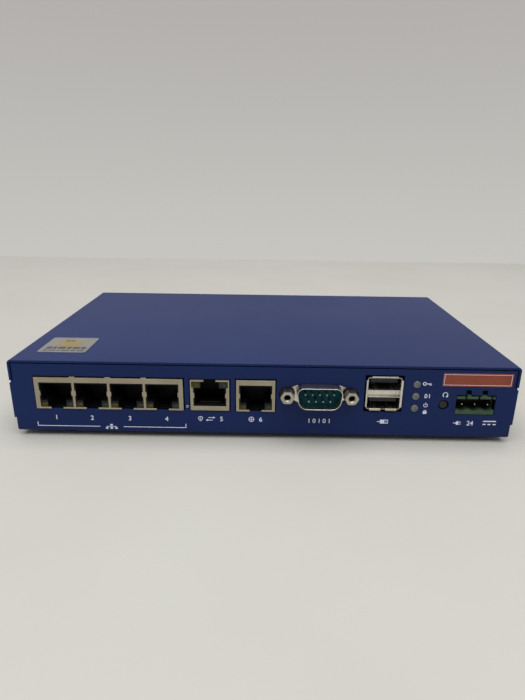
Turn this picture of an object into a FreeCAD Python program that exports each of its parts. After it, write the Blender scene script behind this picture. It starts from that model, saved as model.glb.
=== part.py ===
# A desktop firewall appliance in a folded steel case, with every connector on its front panel.
# Millimetres. +Z is up, the front faces -Y, and +X is right as seen from the front.
# The origin is under the middle of the whole object, on the plane that the feet stand on.

import FreeCAD, Part
import math
import os

os.makedirs("parts", exist_ok=True)

V = FreeCAD.Vector
AXIS_X = V(1, 0, 0)
AXIS_Y = V(0, 1, 0)
AXIS_Z = V(0, 0, 1)
NEAR = 1e-4

# Case
WIDTH = 200.0
DEPTH = 122.0
BODY_HEIGHT = 30.5
SHEET = 1.0
BEND = 1.5
FLANGE_HEIGHT = 14.0
BEND_RELIEF = 0.4
CORNER_RADIUS = 1.0

# How the cover meets the panels
COVER_LIP = 6.3
COVER_PLAY = 0.15
TAB_OVERLAP = 0.3
TAB_TOP = 21.0
TAB_GAP = 0.1
NOTCH_HEIGHT = 1.0
NOTCH_GAP = 0.15
PANEL_TOP_GAP = 0.2
PANEL_SIDE_GAP = 0.5
LOWER_INSET = 0.8

# Side vents and security slot
VENT_COUNT = 14
VENT_PITCH = 5.0
VENT_WIDTH = 2.0
VENT_HEIGHT = 9.0
VENT_RISE = 20.5
SLOT_LENGTH = 7.0
SLOT_HEIGHT = 3.0
SLOT_RISE = 20.0
SLOT_INSET = 12.0

# Cover screws
SCREW_RISE = 10.4
SCREW_INSET = 20.0
SCREW_HEAD_RADIUS = 2.5
SCREW_RADIUS = 1.5
SCREW_LENGTH = 6.0
SCREW_BOSS_RADIUS = 2.6
SCREW_BOSS_HEIGHT = 1.2
RECESS_LENGTH = 2.6
RECESS_WIDTH = 0.6
RECESS_DEPTH = 0.8

# Feet and the wall-mount keyholes in the floor
FOOT_HEIGHT = 2.0
FOOT_RADIUS = 6.0
FOOT_ROUND = 0.5
FOOT_INSET = 14.0
KEYHOLE_PITCH = 150.0
KEYHOLE_SETBACK = 78.0
KEYHOLE_RADIUS = 4.5
KEYHOLE_SLOT = 4.5
KEYHOLE_TRAVEL = 8.0

# Labels
LABEL_THICKNESS = 0.15
FRONT_LABEL_INSET = 2.875
FRONT_LABEL_SIZE = (27.25, 5.5)
FRONT_LABEL_RISE = 25.2
TOP_LABEL_INSET = 7.6
TOP_LABEL_SIZE = (19.8, 19.5)
TOP_LABEL_SETBACK = 19.65
RATING_LABEL_SIZE = (62.0, 32.0)
LABEL_RADIUS = 1.2

# Main board
BOARD_RISE = 8.8
BOARD_THICKNESS = 1.6
BOARD_MARGIN = 4.0
BOARD_SETBACK = 1.2
BOARD_REAR_GAP = 6.8
STANDOFF_RADIUS = 2.75
STANDOFF_MARGIN = 5.0
STANDOFF_SETBACK = 19.0
CENTRE_STANDOFF_X = 10.0
BOARD_SCREW_RADIUS = 1.25
BOARD_SCREW_LENGTH = 6.0
BOARD_SCREW_HEAD = 1.8
THREAD_PLAY = 0.05

# Gaps along the front row: left edge, network jack block, second jack, third jack, serial connector,
# USB socket, status lamps, reset button, power header, right edge
FRONT_GAPS = (9.6, 2.4, 2.3, 1.595, 3.495, 3.5, 5.7, 1.88, 8.38)

# Network jacks
LAN_PORTS = 4
LAN_PITCH = 14.0
LAN_SIDE_WALL = 2.175
LAN_HEIGHT = 13.5
SINGLE_SIDE_WALL = 1.575
SECOND_JACK_HEIGHT = 13.2
THIRD_JACK_HEIGHT = 13.5
JACK_DEPTH = 15.5
JACK_PROUD = 0.5
JACK_SHEET = 0.3
CUT_GAP = 0.25
WINDOW_WIDTH = 12.65
WINDOW_HEIGHT = 10.1
WINDOW_RISE = 0.8
LATCH_GAP = 4.7
PLUG_WIDTH = 12.0
PLUG_HEIGHT = 7.0
PLUG_DEPTH = 11.5
LATCH_CHANNEL = 7.2
SPRING_HEIGHT = 2.0
SPRING_REACH = 0.4
SPRING_RISE = 6.8
GROUND_TAB = 2.4
GROUND_TAB_RISE = 0.45
WIRE_COUNT = 8
WIRE_PITCH = 1.02
WIRE_WIDTH = 0.45
WIRE_THICKNESS = 0.3
WIRE_SETBACK = 2.0
WIRE_REACH = 7.5
WIRE_DROP = 2.6
LAMP_WIDTH = 2.6
LAMP_HEIGHT = 2.6
LAMP_DEPTH = 6.0

# Serial connector
SERIAL_RISE = 7.6
SHELL_WIDTH = 16.92
SHELL_HEIGHT = 8.36
SHELL_CORNER = 2.6
SHELL_WALL = 0.4
SHELL_LENGTH = 6.0
SHELL_SLOPE = 10.0
FLANGE_SIZE = (30.81, 12.5)
FLANGE_THICKNESS = 0.8
INSULATOR_RECESS = 5.2
INSULATOR_DEPTH = 8.0
INSULATOR_BACK = (18.8, 10.6)
SERIAL_PITCH = 2.77
SERIAL_ROW = 1.42
SERIAL_ROWS = ((1, 5), (-1, 4))
SERIAL_PIN_RADIUS = 0.5
SERIAL_PIN_RECESS = 1.0
SERIAL_PIN_NOSE = 0.2
SERIAL_TAIL = 0.6
SERIAL_TAIL_STEP = 2.54
JACKSCREW_PITCH = 24.99
JACKSCREW_FLATS = 4.9
JACKSCREW_LENGTH = 5.0
JACKSCREW_BORE = 1.15
JACKSCREW_STUD = 1.4
JACKSCREW_STUD_LENGTH = 6.0
JACKSCREW_HOLE_GAP = 0.75
SERIAL_CUT_GAP = 0.4
SERIAL_WING = 2.2
BRACKET_SIZE = (5.6, 9.0)
BRACKET_SHEET = 1.0

# Stacked double USB socket
USB_LIFT = 1.8
USB_WIDTH = 13.3
USB_HEIGHT = 13.5
USB_WALL = 0.3
USB_OPENING = 4.9
USB_DEPTH = 17.0
USB_PROUD = 0.3
USB_CUT = (15.2, 15.6)
USB_CUT_RISE = 0.5
USB_LIP = 0.55
USB_TOP_LIP = 10.2
USB_BOTTOM_LIP = 4.4
USB_BOTTOM_LIP_PITCH = 6.3
USB_SIDE_LIP = 12.0
TONGUE_WIDTH = 10.6
TONGUE_THICKNESS = 1.84
TONGUE_DROP = 0.5
TONGUE_SETBACK = 1.6
TONGUE_ROOT = 11.0
USB_CONTACT_OFFSETS = (-3.5, -1.0, 1.0, 3.5)
USB_CONTACT_WIDTH = 1.0
USB_CONTACT_THICKNESS = 0.25
USB_FINGER_OFFSET = 3.1
USB_FINGER_WIDTH = 1.7
USB_FINGER_RISE = 1.1
USB_FINGER_LENGTH = 5.0
USB_FINGER_SETBACK = 2.2

# Status lamps and reset button
LAMP_COUNT = 3
LAMP_PITCH = 5.1
LAMP_RISE = 17.8
LENS_RADIUS = 1.5
LENS_GAP = 0.15
LENS_DOME = 0.5
HOLDER_WIDTH = 5.0
HOLDER_DEPTH = 6.0
HOLDER_GAP = 0.4
RESET_RISE = 14.4
RESET_HOLE_RADIUS = 2.1
RESET_RADIUS = 1.7
RESET_ROUND = 0.3
RESET_RECESS = 0.4
RESET_TRAVEL = 0.3
RESET_FIT = 0.05
RESET_COLLAR = 0.5
RESET_COLLAR_THICKNESS = 1.2
RESET_BOLT = 1.0
SWITCH_SIZE = (6.2, 6.0, 6.6)
SWITCH_WALL = 0.8
SWITCH_GAP = 0.8

# Power header
POWER_POLES = 3
POWER_PITCH = 5.08
POWER_HEIGHT = 8.2
POWER_DEPTH = 12.0
POWER_POCKET_DEPTH = 8.6
POWER_SETBACK = 0.1
POWER_CUT = (15.6, 8.6)
POWER_CUT_RISE = -0.3
POWER_LEDGE = 1.9
POWER_ROOF = 1.6
POWER_END_WALL = 0.7
POWER_END_SETBACK = 2.5
POWER_PIN_RISE = 4.1
POWER_PIN = 1.0
POWER_PIN_CHAMFER = 0.25
POWER_PIN_RECESS = 0.6
POWER_BAY_RADIUS = 2.3
POWER_BAY_DROP = 0.5
POWER_GROOVE = 0.7
POWER_GROOVE_OFFSET = 1.2
POWER_GROOVE_DEPTH = 6.0
KEY_WIDTH = 1.8
KEY_PITCH = 6.4
KEY_HEIGHT = 2.1

# Parts on the main board. A setback is measured from the board's front edge, a gap from the part before,
# and an offset or a lead from the middle of the processor or of the connector that the part serves
TRANSFORMER_SIZE = (12.7, 9.5, 5.9)
TRANSFORMER_SETBACK = 29.0
SINK_SIZE = (40.0, 40.0, 11.0)
SINK_GAP = 8.25
SINK_BASE = 2.5
SINK_FINS = 9
SINK_FIN = 1.2
PAD_THICKNESS = 0.5
PROCESSOR_SIZE = (27.0, 27.0, 1.4)
MEMORY_SIZE = (22.2, 10.2, 1.1)
MEMORY_GAP = 9.4
MEMORY_LEAD = 10.0
MEMORY_PITCH = 18.0
MEMORY_COUNT = 2
FLASH_SIZE = (14.0, 20.0, 1.2)
FLASH_OFFSET = 32.0
FLASH_LAG = 22.0
CRYSTAL_SIZE = (11.4, 4.7, 3.5)
CLOCK_CRYSTAL_OFFSET = 34.0
CLOCK_CRYSTAL_LEAD = 6.0
TIMER_CRYSTAL_OFFSET = 10.0
TIMER_CRYSTAL_GAP = 3.65
NETWORK_CHIP_SIZE = (20.0, 20.0, 1.5)
NETWORK_CHIP_OFFSET = 0.9
NETWORK_CHIP_GAP = 12.25
DRIVER_SIZE = (10.2, 7.5, 2.3)
DRIVER_OFFSET = 2.1
DRIVER_SETBACK = 27.0
INDUCTOR_SIZE = (12.0, 12.0, 7.0)
INDUCTOR_OFFSET = 18.0
INDUCTOR_SETBACK = 34.0
INDUCTOR_PITCH = 20.0
INDUCTOR_COUNT = 2
CONVERTER_SIZE = (6.2, 5.0, 1.6)
CONVERTER_GAP = 7.5
CONVERTER_PITCH = 12.0
CONVERTER_COUNT = 2
CAPACITOR_OFFSET = 2.0
CAPACITOR_SETBACK = 34.0
CAPACITOR_PITCH = 13.0
CAPACITOR_COUNT = 3
CAPACITOR_RADIUS = 5.0
CAPACITOR_HEIGHT = 12.5
CAPACITOR_ROUND = 0.5
OUTPUT_CAPACITOR_OFFSET = 32.0
OUTPUT_CAPACITOR_SETBACK = 86.0
FUSE_SIZE = (3.1, 10.1, 3.1)
FUSE_INSET = 4.3
FUSE_GAP = 3.95
CHIP_SIZE = (2.0, 1.25, 1.0)
CHIP_RING = 6
CHIP_RING_PITCH = 5.0

# Derived places
shell_reach = SHELL_LENGTH - SHEET
front_y = (shell_reach - DEPTH) / 2
rear_y = front_y + DEPTH
panel_back = front_y + SHEET
base_z = FOOT_HEIGHT
floor_z = base_z + SHEET
top_z = base_z + BODY_HEIGHT
half_width = WIDTH / 2
wall_inside = half_width - SHEET
flange_outside = wall_inside - COVER_PLAY
flange_inside = flange_outside - SHEET
panel_top = top_z - SHEET - PANEL_TOP_GAP
notch_top = base_z + TAB_TOP + NOTCH_HEIGHT
board_top = base_z + BOARD_RISE + BOARD_THICKNESS
board_front = panel_back + BOARD_SETBACK
board_half = flange_inside - BOARD_MARGIN
board_back = rear_y - SHEET - BOARD_REAR_GAP
serial_z = board_top + SERIAL_RISE
flange_front = panel_back
power_width = POWER_POLES * POWER_PITCH
lan_width = (LAN_PORTS - 1) * LAN_PITCH + WINDOW_WIDTH + 2 * LAN_SIDE_WALL
single_width = WINDOW_WIDTH + 2 * SINGLE_SIDE_WALL


def front_row():
    """Centres of the connectors. What they leave of the width is shared out by the gaps."""
    widths = [lan_width, single_width, single_width, FLANGE_SIZE[0]]
    widths += [USB_WIDTH, HOLDER_WIDTH, SWITCH_SIZE[0], power_width]
    spread = (WIDTH - sum(widths)) / sum(FRONT_GAPS)
    centres = []
    edge = -half_width
    for gap, width in zip(FRONT_GAPS, widths):
        edge += gap * spread
        centres.append(edge + width / 2)
        edge += width
    return centres


lan_x, second_jack_x, third_jack_x, serial_x, usb_x, lamp_x, reset_x, power_x = front_row()
network_chip_x = lan_x + NETWORK_CHIP_OFFSET
transformer_back = TRANSFORMER_SETBACK + TRANSFORMER_SIZE[1] / 2
network_chip_setback = transformer_back + NETWORK_CHIP_GAP + NETWORK_CHIP_SIZE[1] / 2
processor_setback = transformer_back + SINK_GAP + SINK_SIZE[1] / 2


def span(centre, size):
    return (centre - size / 2, centre + size / 2)


def block(x, y, z):
    corner = V(x[0], y[0], z[0])
    return Part.makeBox(x[1] - x[0], y[1] - y[0], z[1] - z[0], corner)


def rod_x(x, y, z, radius):
    return Part.makeCylinder(radius, x[1] - x[0], V(x[0], y, z), AXIS_X)


def rod_y(x, y, z, radius):
    return Part.makeCylinder(radius, y[1] - y[0], V(x, y[0], z), AXIS_Y)


def rod_z(x, y, z, radius):
    return Part.makeCylinder(radius, z[1] - z[0], V(x, y, z[0]), AXIS_Z)


def prism(points, along):
    wire = Part.makePolygon(points + points[:1])
    return Part.Face(wire).extrude(along)


def prism_x(points, x):
    return prism([V(x[0], y, z) for y, z in points], V(x[1] - x[0], 0, 0))


def prism_y(points, y):
    return prism([V(x, y[0], z) for x, z in points], V(0, y[1] - y[0], 0))


def prism_z(points, z):
    return prism([V(x, y, z[0]) for x, y in points], V(0, 0, z[1] - z[0]))


def fused(shapes):
    return shapes[0].multiFuse(shapes[1:]).removeSplitter() if len(shapes) > 1 else shapes[0]


def straight_edges(shape, axis):
    lines = [edge for edge in shape.Edges if isinstance(edge.Curve, Part.Line)]
    return [edge for edge in lines if edge.Curve.Direction.cross(axis).Length < NEAR]


def level_with(edge, z):
    return abs(edge.BoundBox.ZMin - z) < NEAR and abs(edge.BoundBox.ZMax - z) < NEAR


def edges_at(shape, z):
    return [edge for edge in shape.Edges if level_with(edge, z)]


def softened(shape, axis, radius):
    return shape.makeFillet(radius, straight_edges(shape, axis))


def folded(x, y, z, axis, edge_z, radius):
    """A block whose two edges along the axis at the height edge_z are rounded, as at a fold."""
    shape = block(x, y, z)
    picked = [edge for edge in straight_edges(shape, axis) if level_with(edge, edge_z)]
    return shape.makeFillet(radius, picked)


def save(name, shapes):
    solids = shapes if isinstance(shapes, list) else [shapes]
    whole = solids[0] if len(solids) == 1 else Part.makeCompound(solids)
    whole.exportStep("parts/" + name + ".step")


# Case


def panel_outline():
    """Half of the outline that the front and rear panels share, from the floor up to the top edge."""
    tab_bottom = base_z + COVER_LIP - TAB_OVERLAP
    panel_edge = wall_inside - PANEL_SIDE_GAP
    notch_edge = wall_inside - NOTCH_GAP
    return [
        (half_width - LOWER_INSET, base_z),
        (half_width - LOWER_INSET, tab_bottom),
        (half_width, tab_bottom),
        (half_width, base_z + TAB_TOP),
        (notch_edge, base_z + TAB_TOP),
        (notch_edge, notch_top),
        (panel_edge, notch_top),
        (panel_edge, panel_top),
    ]


def jack_openings():
    jacks = (
        (lan_x, lan_width, LAN_HEIGHT),
        (second_jack_x, single_width, SECOND_JACK_HEIGHT),
        (third_jack_x, single_width, THIRD_JACK_HEIGHT),
    )
    through = (front_y - SHEET, panel_back + SHEET)
    tall = [(board_top - CUT_GAP, board_top + height + CUT_GAP) for _, _, height in jacks]
    return [block(span(x, width + 2 * CUT_GAP), through, z) for (x, width, _), z in zip(jacks, tall)]


def serial_opening():
    """A wide hexagon round the shell, joined to a round hole at each jackscrew."""
    through = (front_y - SHEET, panel_back + SHEET)
    rise = SHELL_HEIGHT / 2 + SERIAL_CUT_GAP
    shell_half = SHELL_WIDTH / 2 + SERIAL_CUT_GAP / 2
    neck = JACKSCREW_PITCH / 2 - SERIAL_CUT_GAP
    foot = shell_half - SHELL_HEIGHT * math.tan(math.radians(SHELL_SLOPE))
    half = [(shell_half, rise), (neck, SERIAL_WING), (neck, -SERIAL_WING), (foot, -rise)]
    outline = half + [(-x, z) for x, z in reversed(half)]
    placed = [(serial_x + x, serial_z + z) for x, z in outline]
    radius = JACKSCREW_FLATS / 2 + JACKSCREW_HOLE_GAP
    holes = [rod_y(x, through, serial_z, radius) for x in jackscrew_places()]
    return fused([prism_y(placed, through)] + holes)


def usb_opening():
    low = board_top + USB_CUT_RISE
    return block(span(usb_x, USB_CUT[0]), (front_y - SHEET, panel_back + SHEET), (low, low + USB_CUT[1]))


def power_opening():
    through = (front_y - SHEET, panel_back + SHEET)
    low = board_top + POWER_CUT_RISE
    high = low + POWER_CUT[1]
    opening = [block(span(power_x, POWER_CUT[0]), through, (low, high))]
    for side in (-1, 1):
        key = span(power_x + side * KEY_PITCH / 2, KEY_WIDTH)
        opening.append(block(key, through, (low, high + KEY_HEIGHT)))
    return fused(opening)


def keyhole(x):
    y = front_y + KEYHOLE_SETBACK
    through = (base_z - SHEET, floor_z + SHEET)
    entry = rod_z(x, y, through, KEYHOLE_RADIUS)
    slot = block(span(x, KEYHOLE_SLOT), (y, y + KEYHOLE_TRAVEL), through)
    end = rod_z(x, y + KEYHOLE_TRAVEL, through, KEYHOLE_SLOT / 2)
    return fused([entry, slot, end])


def screw_places():
    z = base_z + SCREW_RISE
    return [(side, y, z) for side in (-1, 1) for y in (front_y + SCREW_INSET, rear_y - SCREW_INSET)]


def base_chassis():
    outline = panel_outline()
    mirrored = [(-x, z) for x, z in reversed(outline)]
    across = (-half_width, half_width)
    outer = folded(across, (front_y, rear_y), (base_z, panel_top), AXIS_X, base_z, BEND)
    inside = (panel_back, rear_y - SHEET)
    inner = folded(across, inside, (floor_z, panel_top + SHEET), AXIS_X, floor_z, BEND - SHEET)
    silhouette = softened_feet(prism_y(outline + mirrored, (front_y, rear_y)))
    panels = outer.cut(inner).common(silhouette)
    between = (front_y + BEND, rear_y - BEND)
    for side in (-1, 1):
        strip = sorted((side * (flange_outside - BEND), side * half_width))
        panels = panels.cut(block(strip, between, (base_z, floor_z)))
    along = (between[0] + BEND_RELIEF, between[1] - BEND_RELIEF)
    tall = base_z + FLANGE_HEIGHT
    tray = folded(span(0, 2 * flange_outside), along, (base_z, tall), AXIS_Y, base_z, BEND)
    hollow = folded(span(0, 2 * flange_inside), along, (floor_z, tall + SHEET), AXIS_Y, floor_z, BEND - SHEET)
    bosses = []
    for side, y, z in screw_places():
        depth = sorted((side * flange_inside, side * (flange_inside - SCREW_BOSS_HEIGHT)))
        bosses.append(rod_x(depth, y, z, SCREW_BOSS_RADIUS))
    chassis = fused([panels, tray.cut(hollow)] + bosses)
    for cutter in jack_openings() + [serial_opening(), usb_opening(), power_opening()]:
        chassis = chassis.cut(cutter)
    through = (front_y - SHEET, panel_back + SHEET)
    for z in lamp_heights():
        chassis = chassis.cut(rod_y(lamp_x, through, z, LENS_RADIUS + LENS_GAP))
    chassis = chassis.cut(rod_y(reset_x, through, base_z + RESET_RISE, RESET_HOLE_RADIUS))
    for x in (-KEYHOLE_PITCH / 2, KEYHOLE_PITCH / 2):
        chassis = chassis.cut(keyhole(x))
    for side, y, z in screw_places():
        reach = sorted((side * half_width, side * (flange_inside - SCREW_LENGTH)))
        chassis = chassis.cut(rod_x(reach, y, z, SCREW_RADIUS + THREAD_PLAY))
    return chassis


def softened_feet(shape):
    """The two lowest corners of the panels, slightly rounded."""
    lowest = [e for e in straight_edges(shape, AXIS_Y) if abs(e.BoundBox.ZMax - base_z) < NEAR]
    return shape.makeFillet(CORNER_RADIUS, lowest)


def top_cover():
    along = (front_y, rear_y)
    low = base_z + COVER_LIP
    outer = folded(span(0, WIDTH), along, (low, top_z), AXIS_Y, top_z, BEND)
    under = top_z - SHEET
    inner = folded(span(0, 2 * wall_inside), along, (base_z, under), AXIS_Y, under, BEND - SHEET)
    cover = outer.cut(inner)
    reach = SHEET + TAB_GAP
    for end in ((front_y, front_y + reach), (rear_y - reach, rear_y)):
        cover = cover.cut(block(span(0, WIDTH), end, (low, notch_top)))
    for side, y, z in screw_places():
        cover = cover.cut(countersink(side, y, z, THREAD_PLAY))
    middle = (front_y + rear_y) / 2
    for index in range(VENT_COUNT):
        y = middle + (index - (VENT_COUNT - 1) / 2) * VENT_PITCH
        cover = cover.cut(oblong(span(0, WIDTH), y, base_z + VENT_RISE, VENT_WIDTH, VENT_HEIGHT))
    lock_y = rear_y - SLOT_INSET
    return cover.cut(oblong((wall_inside, half_width), lock_y, base_z + SLOT_RISE, SLOT_LENGTH, SLOT_HEIGHT))


def oblong(x, y, z, length_y, length_z):
    """A round-ended slot through a side wall, centred on y and z."""
    width = min(length_y, length_z)
    reach_y = (length_y - width) / 2
    reach_z = (length_z - width) / 2
    ends = [rod_x(x, y + side * reach_y, z + side * reach_z, width / 2) for side in (-1, 1)]
    upright = length_z > length_y
    middle_y = span(y, width if upright else 2 * reach_y)
    middle_z = span(z, 2 * reach_z if upright else width)
    return fused([block(x, middle_y, middle_z)] + ends)


def countersink(side, y, z, play):
    """A flat-headed screw form at a side wall, pointing inwards, grown by play all round."""
    tip = side * half_width
    inward = V(-side, 0, 0)
    head = SCREW_HEAD_RADIUS + play
    shank = SCREW_RADIUS + play
    cone = Part.makeCone(head, shank, SCREW_HEAD_RADIUS - SCREW_RADIUS, V(tip, y, z), inward)
    return fused([cone, Part.makeCylinder(shank, SCREW_LENGTH, V(tip, y, z), inward)])


def cross_recess(side, y, z):
    x = sorted((side * half_width, side * (half_width - RECESS_DEPTH)))
    upright = block(x, span(y, RECESS_WIDTH), span(z, RECESS_LENGTH))
    level = block(x, span(y, RECESS_LENGTH), span(z, RECESS_WIDTH))
    return fused([upright, level])


def cover_screws():
    return [countersink(side, y, z, 0.0).cut(cross_recess(side, y, z)) for side, y, z in screw_places()]


def rubber_feet():
    feet = []
    for x in (-half_width + FOOT_INSET, half_width - FOOT_INSET):
        for y in (front_y + FOOT_INSET, rear_y - FOOT_INSET):
            foot = rod_z(x, y, (0.0, FOOT_HEIGHT), FOOT_RADIUS)
            feet.append(foot.makeFillet(FOOT_ROUND, edges_at(foot, 0.0)))
    return feet


def front_label():
    right = half_width - FRONT_LABEL_INSET
    x = (right - FRONT_LABEL_SIZE[0], right)
    z = span(base_z + FRONT_LABEL_RISE, FRONT_LABEL_SIZE[1])
    return block(x, (front_y - LABEL_THICKNESS, front_y), z)


def top_label():
    left = TOP_LABEL_INSET - half_width
    x = (left, left + TOP_LABEL_SIZE[0])
    y = span(front_y + TOP_LABEL_SETBACK, TOP_LABEL_SIZE[1])
    return softened(block(x, y, (top_z, top_z + LABEL_THICKNESS)), AXIS_Z, LABEL_RADIUS)


def rating_label():
    middle = (front_y + rear_y) / 2
    x = span(0, RATING_LABEL_SIZE[0])
    label = block(x, span(middle, RATING_LABEL_SIZE[1]), (base_z - LABEL_THICKNESS, base_z))
    return softened(label, AXIS_Z, LABEL_RADIUS)


# Main board and what fastens it


def standoff_places():
    outer = board_half - STANDOFF_MARGIN
    front = board_front + STANDOFF_SETBACK
    back = board_back - STANDOFF_MARGIN
    front_row = [(-outer, front), (CENTRE_STANDOFF_X, front), (outer, front)]
    return front_row + [(-outer, back), (0.0, back), (outer, back)]


def main_board():
    y = (board_front, board_back)
    board = block(span(0, 2 * board_half), y, (board_top - BOARD_THICKNESS, board_top))
    for x, y in standoff_places():
        through = (base_z, board_top + SHEET)
        board = board.cut(rod_z(x, y, through, BOARD_SCREW_RADIUS + THREAD_PLAY))
    return board


def board_standoffs():
    posts = []
    for x, y in standoff_places():
        height = (floor_z, board_top - BOARD_THICKNESS)
        post = rod_z(x, y, height, STANDOFF_RADIUS)
        posts.append(post.cut(rod_z(x, y, height, BOARD_SCREW_RADIUS + THREAD_PLAY)))
    return posts


def board_screws():
    screws = []
    for x, y in standoff_places():
        head = rod_z(x, y, (board_top, board_top + BOARD_SCREW_HEAD), STANDOFF_RADIUS)
        shank = rod_z(x, y, (board_top - BOARD_SCREW_LENGTH, board_top), BOARD_SCREW_RADIUS)
        depth = (board_top + BOARD_SCREW_HEAD - RECESS_DEPTH, board_top + BOARD_SCREW_HEAD)
        cross = fused([
            block(span(x, RECESS_LENGTH), span(y, RECESS_WIDTH), depth),
            block(span(x, RECESS_WIDTH), span(y, RECESS_LENGTH), depth),
        ])
        screws.append(fused([head, shank]).cut(cross))
    return screws


# Network jacks


class Jack:
    """One jack block of equal ports in a row. Shapes are drawn latch down, then flipped if needed."""

    def __init__(self, x, ports, width, height, latch_up):
        self.x = x
        self.width = width
        self.height = height
        self.latch_up = latch_up
        self.ports = [x + (i - (ports - 1) / 2) * LAN_PITCH for i in range(ports)]
        self.front = front_y - JACK_PROUD
        self.back = front_y + JACK_DEPTH
        self.window = (board_top + WINDOW_RISE, board_top + WINDOW_RISE + WINDOW_HEIGHT)
        self.ceiling = self.window[1] - JACK_SHEET
        self.plug_floor = self.ceiling - PLUG_HEIGHT

    def flip(self, shape):
        if not self.latch_up:
            return shape
        return shape.mirror(V(0, 0, board_top + self.height / 2), AXIS_Z)

    def shield(self):
        top = board_top + self.height
        outer = block(span(self.x, self.width), (self.front, self.back), (board_top, top))
        y = (self.front + JACK_SHEET, self.back - JACK_SHEET)
        inner = block(span(self.x, self.width - 2 * JACK_SHEET), y, (board_top, top - JACK_SHEET))
        shield = outer.cut(inner)
        plate = (self.front, self.front + JACK_SHEET)
        for x in self.ports:
            hole = block(span(x, WINDOW_WIDTH), plate, self.window)
            gap = block(span(x, LATCH_GAP), plate, (board_top, self.window[0]))
            shield = shield.cut(self.flip(fused([hole, gap])))
            height = (self.window[0] + SPRING_RISE - SPRING_HEIGHT, self.window[0] + SPRING_RISE)
            for side in (-1, 1):
                edge = x + side * WINDOW_WIDTH / 2
                spring = block(sorted((edge, edge - side * SPRING_REACH)), plate, height)
                shield = shield.fuse(self.flip(spring))
        between = [(a + b) / 2 for a, b in zip(self.ports, self.ports[1:])]
        lip = (self.front, self.front + JACK_SHEET)
        tabs = [block(span(x, GROUND_TAB), lip, (top - JACK_SHEET, top + GROUND_TAB_RISE)) for x in between]
        return fused([shield] + tabs)

    def housing(self):
        y = (self.front + JACK_SHEET, self.back - JACK_SHEET)
        top = board_top + self.height - JACK_SHEET
        body = block(span(self.x, self.width - 2 * JACK_SHEET), y, (board_top, top))
        for x in self.ports:
            depth = (y[0], y[0] + PLUG_DEPTH)
            plug = block(span(x, PLUG_WIDTH), depth, (self.plug_floor, self.ceiling))
            latch = block(span(x, LATCH_CHANNEL), depth, (self.window[0], self.plug_floor))
            gap = block(span(x, LATCH_GAP), depth, (board_top, self.window[0]))
            body = body.cut(self.flip(fused([plug, latch, gap])))
            for side in (-1, 1):
                body = body.cut(self.flip(self.lamp_block(x, side)))
        return body

    def lamp_block(self, x, side):
        centre = x + side * (WINDOW_WIDTH - LAMP_WIDTH) / 2
        y = (self.front + JACK_SHEET, self.front + JACK_SHEET + LAMP_DEPTH)
        return block(span(centre, LAMP_WIDTH), y, (self.window[0], self.window[0] + LAMP_HEIGHT))

    def lamps(self, side):
        return [self.flip(self.lamp_block(x, side)) for x in self.ports]

    def contacts(self):
        start = self.front + WIRE_SETBACK
        root = self.front + JACK_SHEET + PLUG_DEPTH
        top = self.ceiling
        below = top - WIRE_THICKNESS
        profile = [
            (root, top),
            (start, top),
            (start, below),
            (start + WIRE_REACH, below - WIRE_DROP),
            (start + WIRE_REACH, top - WIRE_DROP),
            (start + WIRE_THICKNESS * WIRE_REACH / WIRE_DROP, below),
            (root, below),
        ]
        wires = []
        for x in self.ports:
            for i in range(WIRE_COUNT):
                centre = x + (i - (WIRE_COUNT - 1) / 2) * WIRE_PITCH
                wires.append(self.flip(prism_x(profile, span(centre, WIRE_WIDTH))))
        return wires


# Serial connector


def jackscrew_places():
    return [serial_x - JACKSCREW_PITCH / 2, serial_x + JACKSCREW_PITCH / 2]


def shell_prism(inset, y):
    """The tapered D outline of the serial shell, inset all round, from y[0] to y[1]."""
    half = SHELL_WIDTH / 2 - inset
    rise = SHELL_HEIGHT / 2 - inset
    foot = half - 2 * rise * math.tan(math.radians(SHELL_SLOPE))
    outline = [(half, rise), (foot, -rise), (-foot, -rise), (-half, rise)]
    shape = prism_y([(serial_x + x, serial_z + z) for x, z in outline], y)
    corners = [e for e in shape.Edges if abs(e.BoundBox.YLength - (y[1] - y[0])) < NEAR]
    return shape.makeFillet(SHELL_CORNER - inset, corners)


def serial_shell():
    tip = flange_front - SHELL_LENGTH
    back = flange_front + FLANGE_THICKNESS
    plate = block(span(serial_x, FLANGE_SIZE[0]), (flange_front, back), span(serial_z, FLANGE_SIZE[1]))
    plate = softened(plate, AXIS_Y, CORNER_RADIUS)
    shell = fused([shell_prism(0.0, (tip, flange_front)), plate])
    shell = shell.cut(shell_prism(SHELL_WALL, (tip, back)))
    for x in jackscrew_places():
        shell = shell.cut(rod_y(x, (flange_front, back), serial_z, JACKSCREW_STUD + THREAD_PLAY))
    return shell


def serial_pin_places():
    places = []
    for row, count in SERIAL_ROWS:
        places += [(serial_x + (i - (count - 1) / 2) * SERIAL_PITCH, row) for i in range(count)]
    return places


def insulator_span():
    face = flange_front - SHELL_LENGTH + INSULATOR_RECESS
    return (face, flange_front + FLANGE_THICKNESS + INSULATOR_DEPTH)


def serial_insulator():
    face, back = insulator_span()
    front = shell_prism(SHELL_WALL, (face, flange_front + FLANGE_THICKNESS))
    behind = (flange_front + FLANGE_THICKNESS, back)
    rear = block(span(serial_x, INSULATOR_BACK[0]), behind, (board_top, serial_z + INSULATOR_BACK[1] / 2))
    body = fused([front, rear])
    for x, row in serial_pin_places():
        body = body.cut(rod_y(x, (face, back), serial_z + row * SERIAL_ROW, SERIAL_PIN_RADIUS + THREAD_PLAY))
    return body


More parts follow.
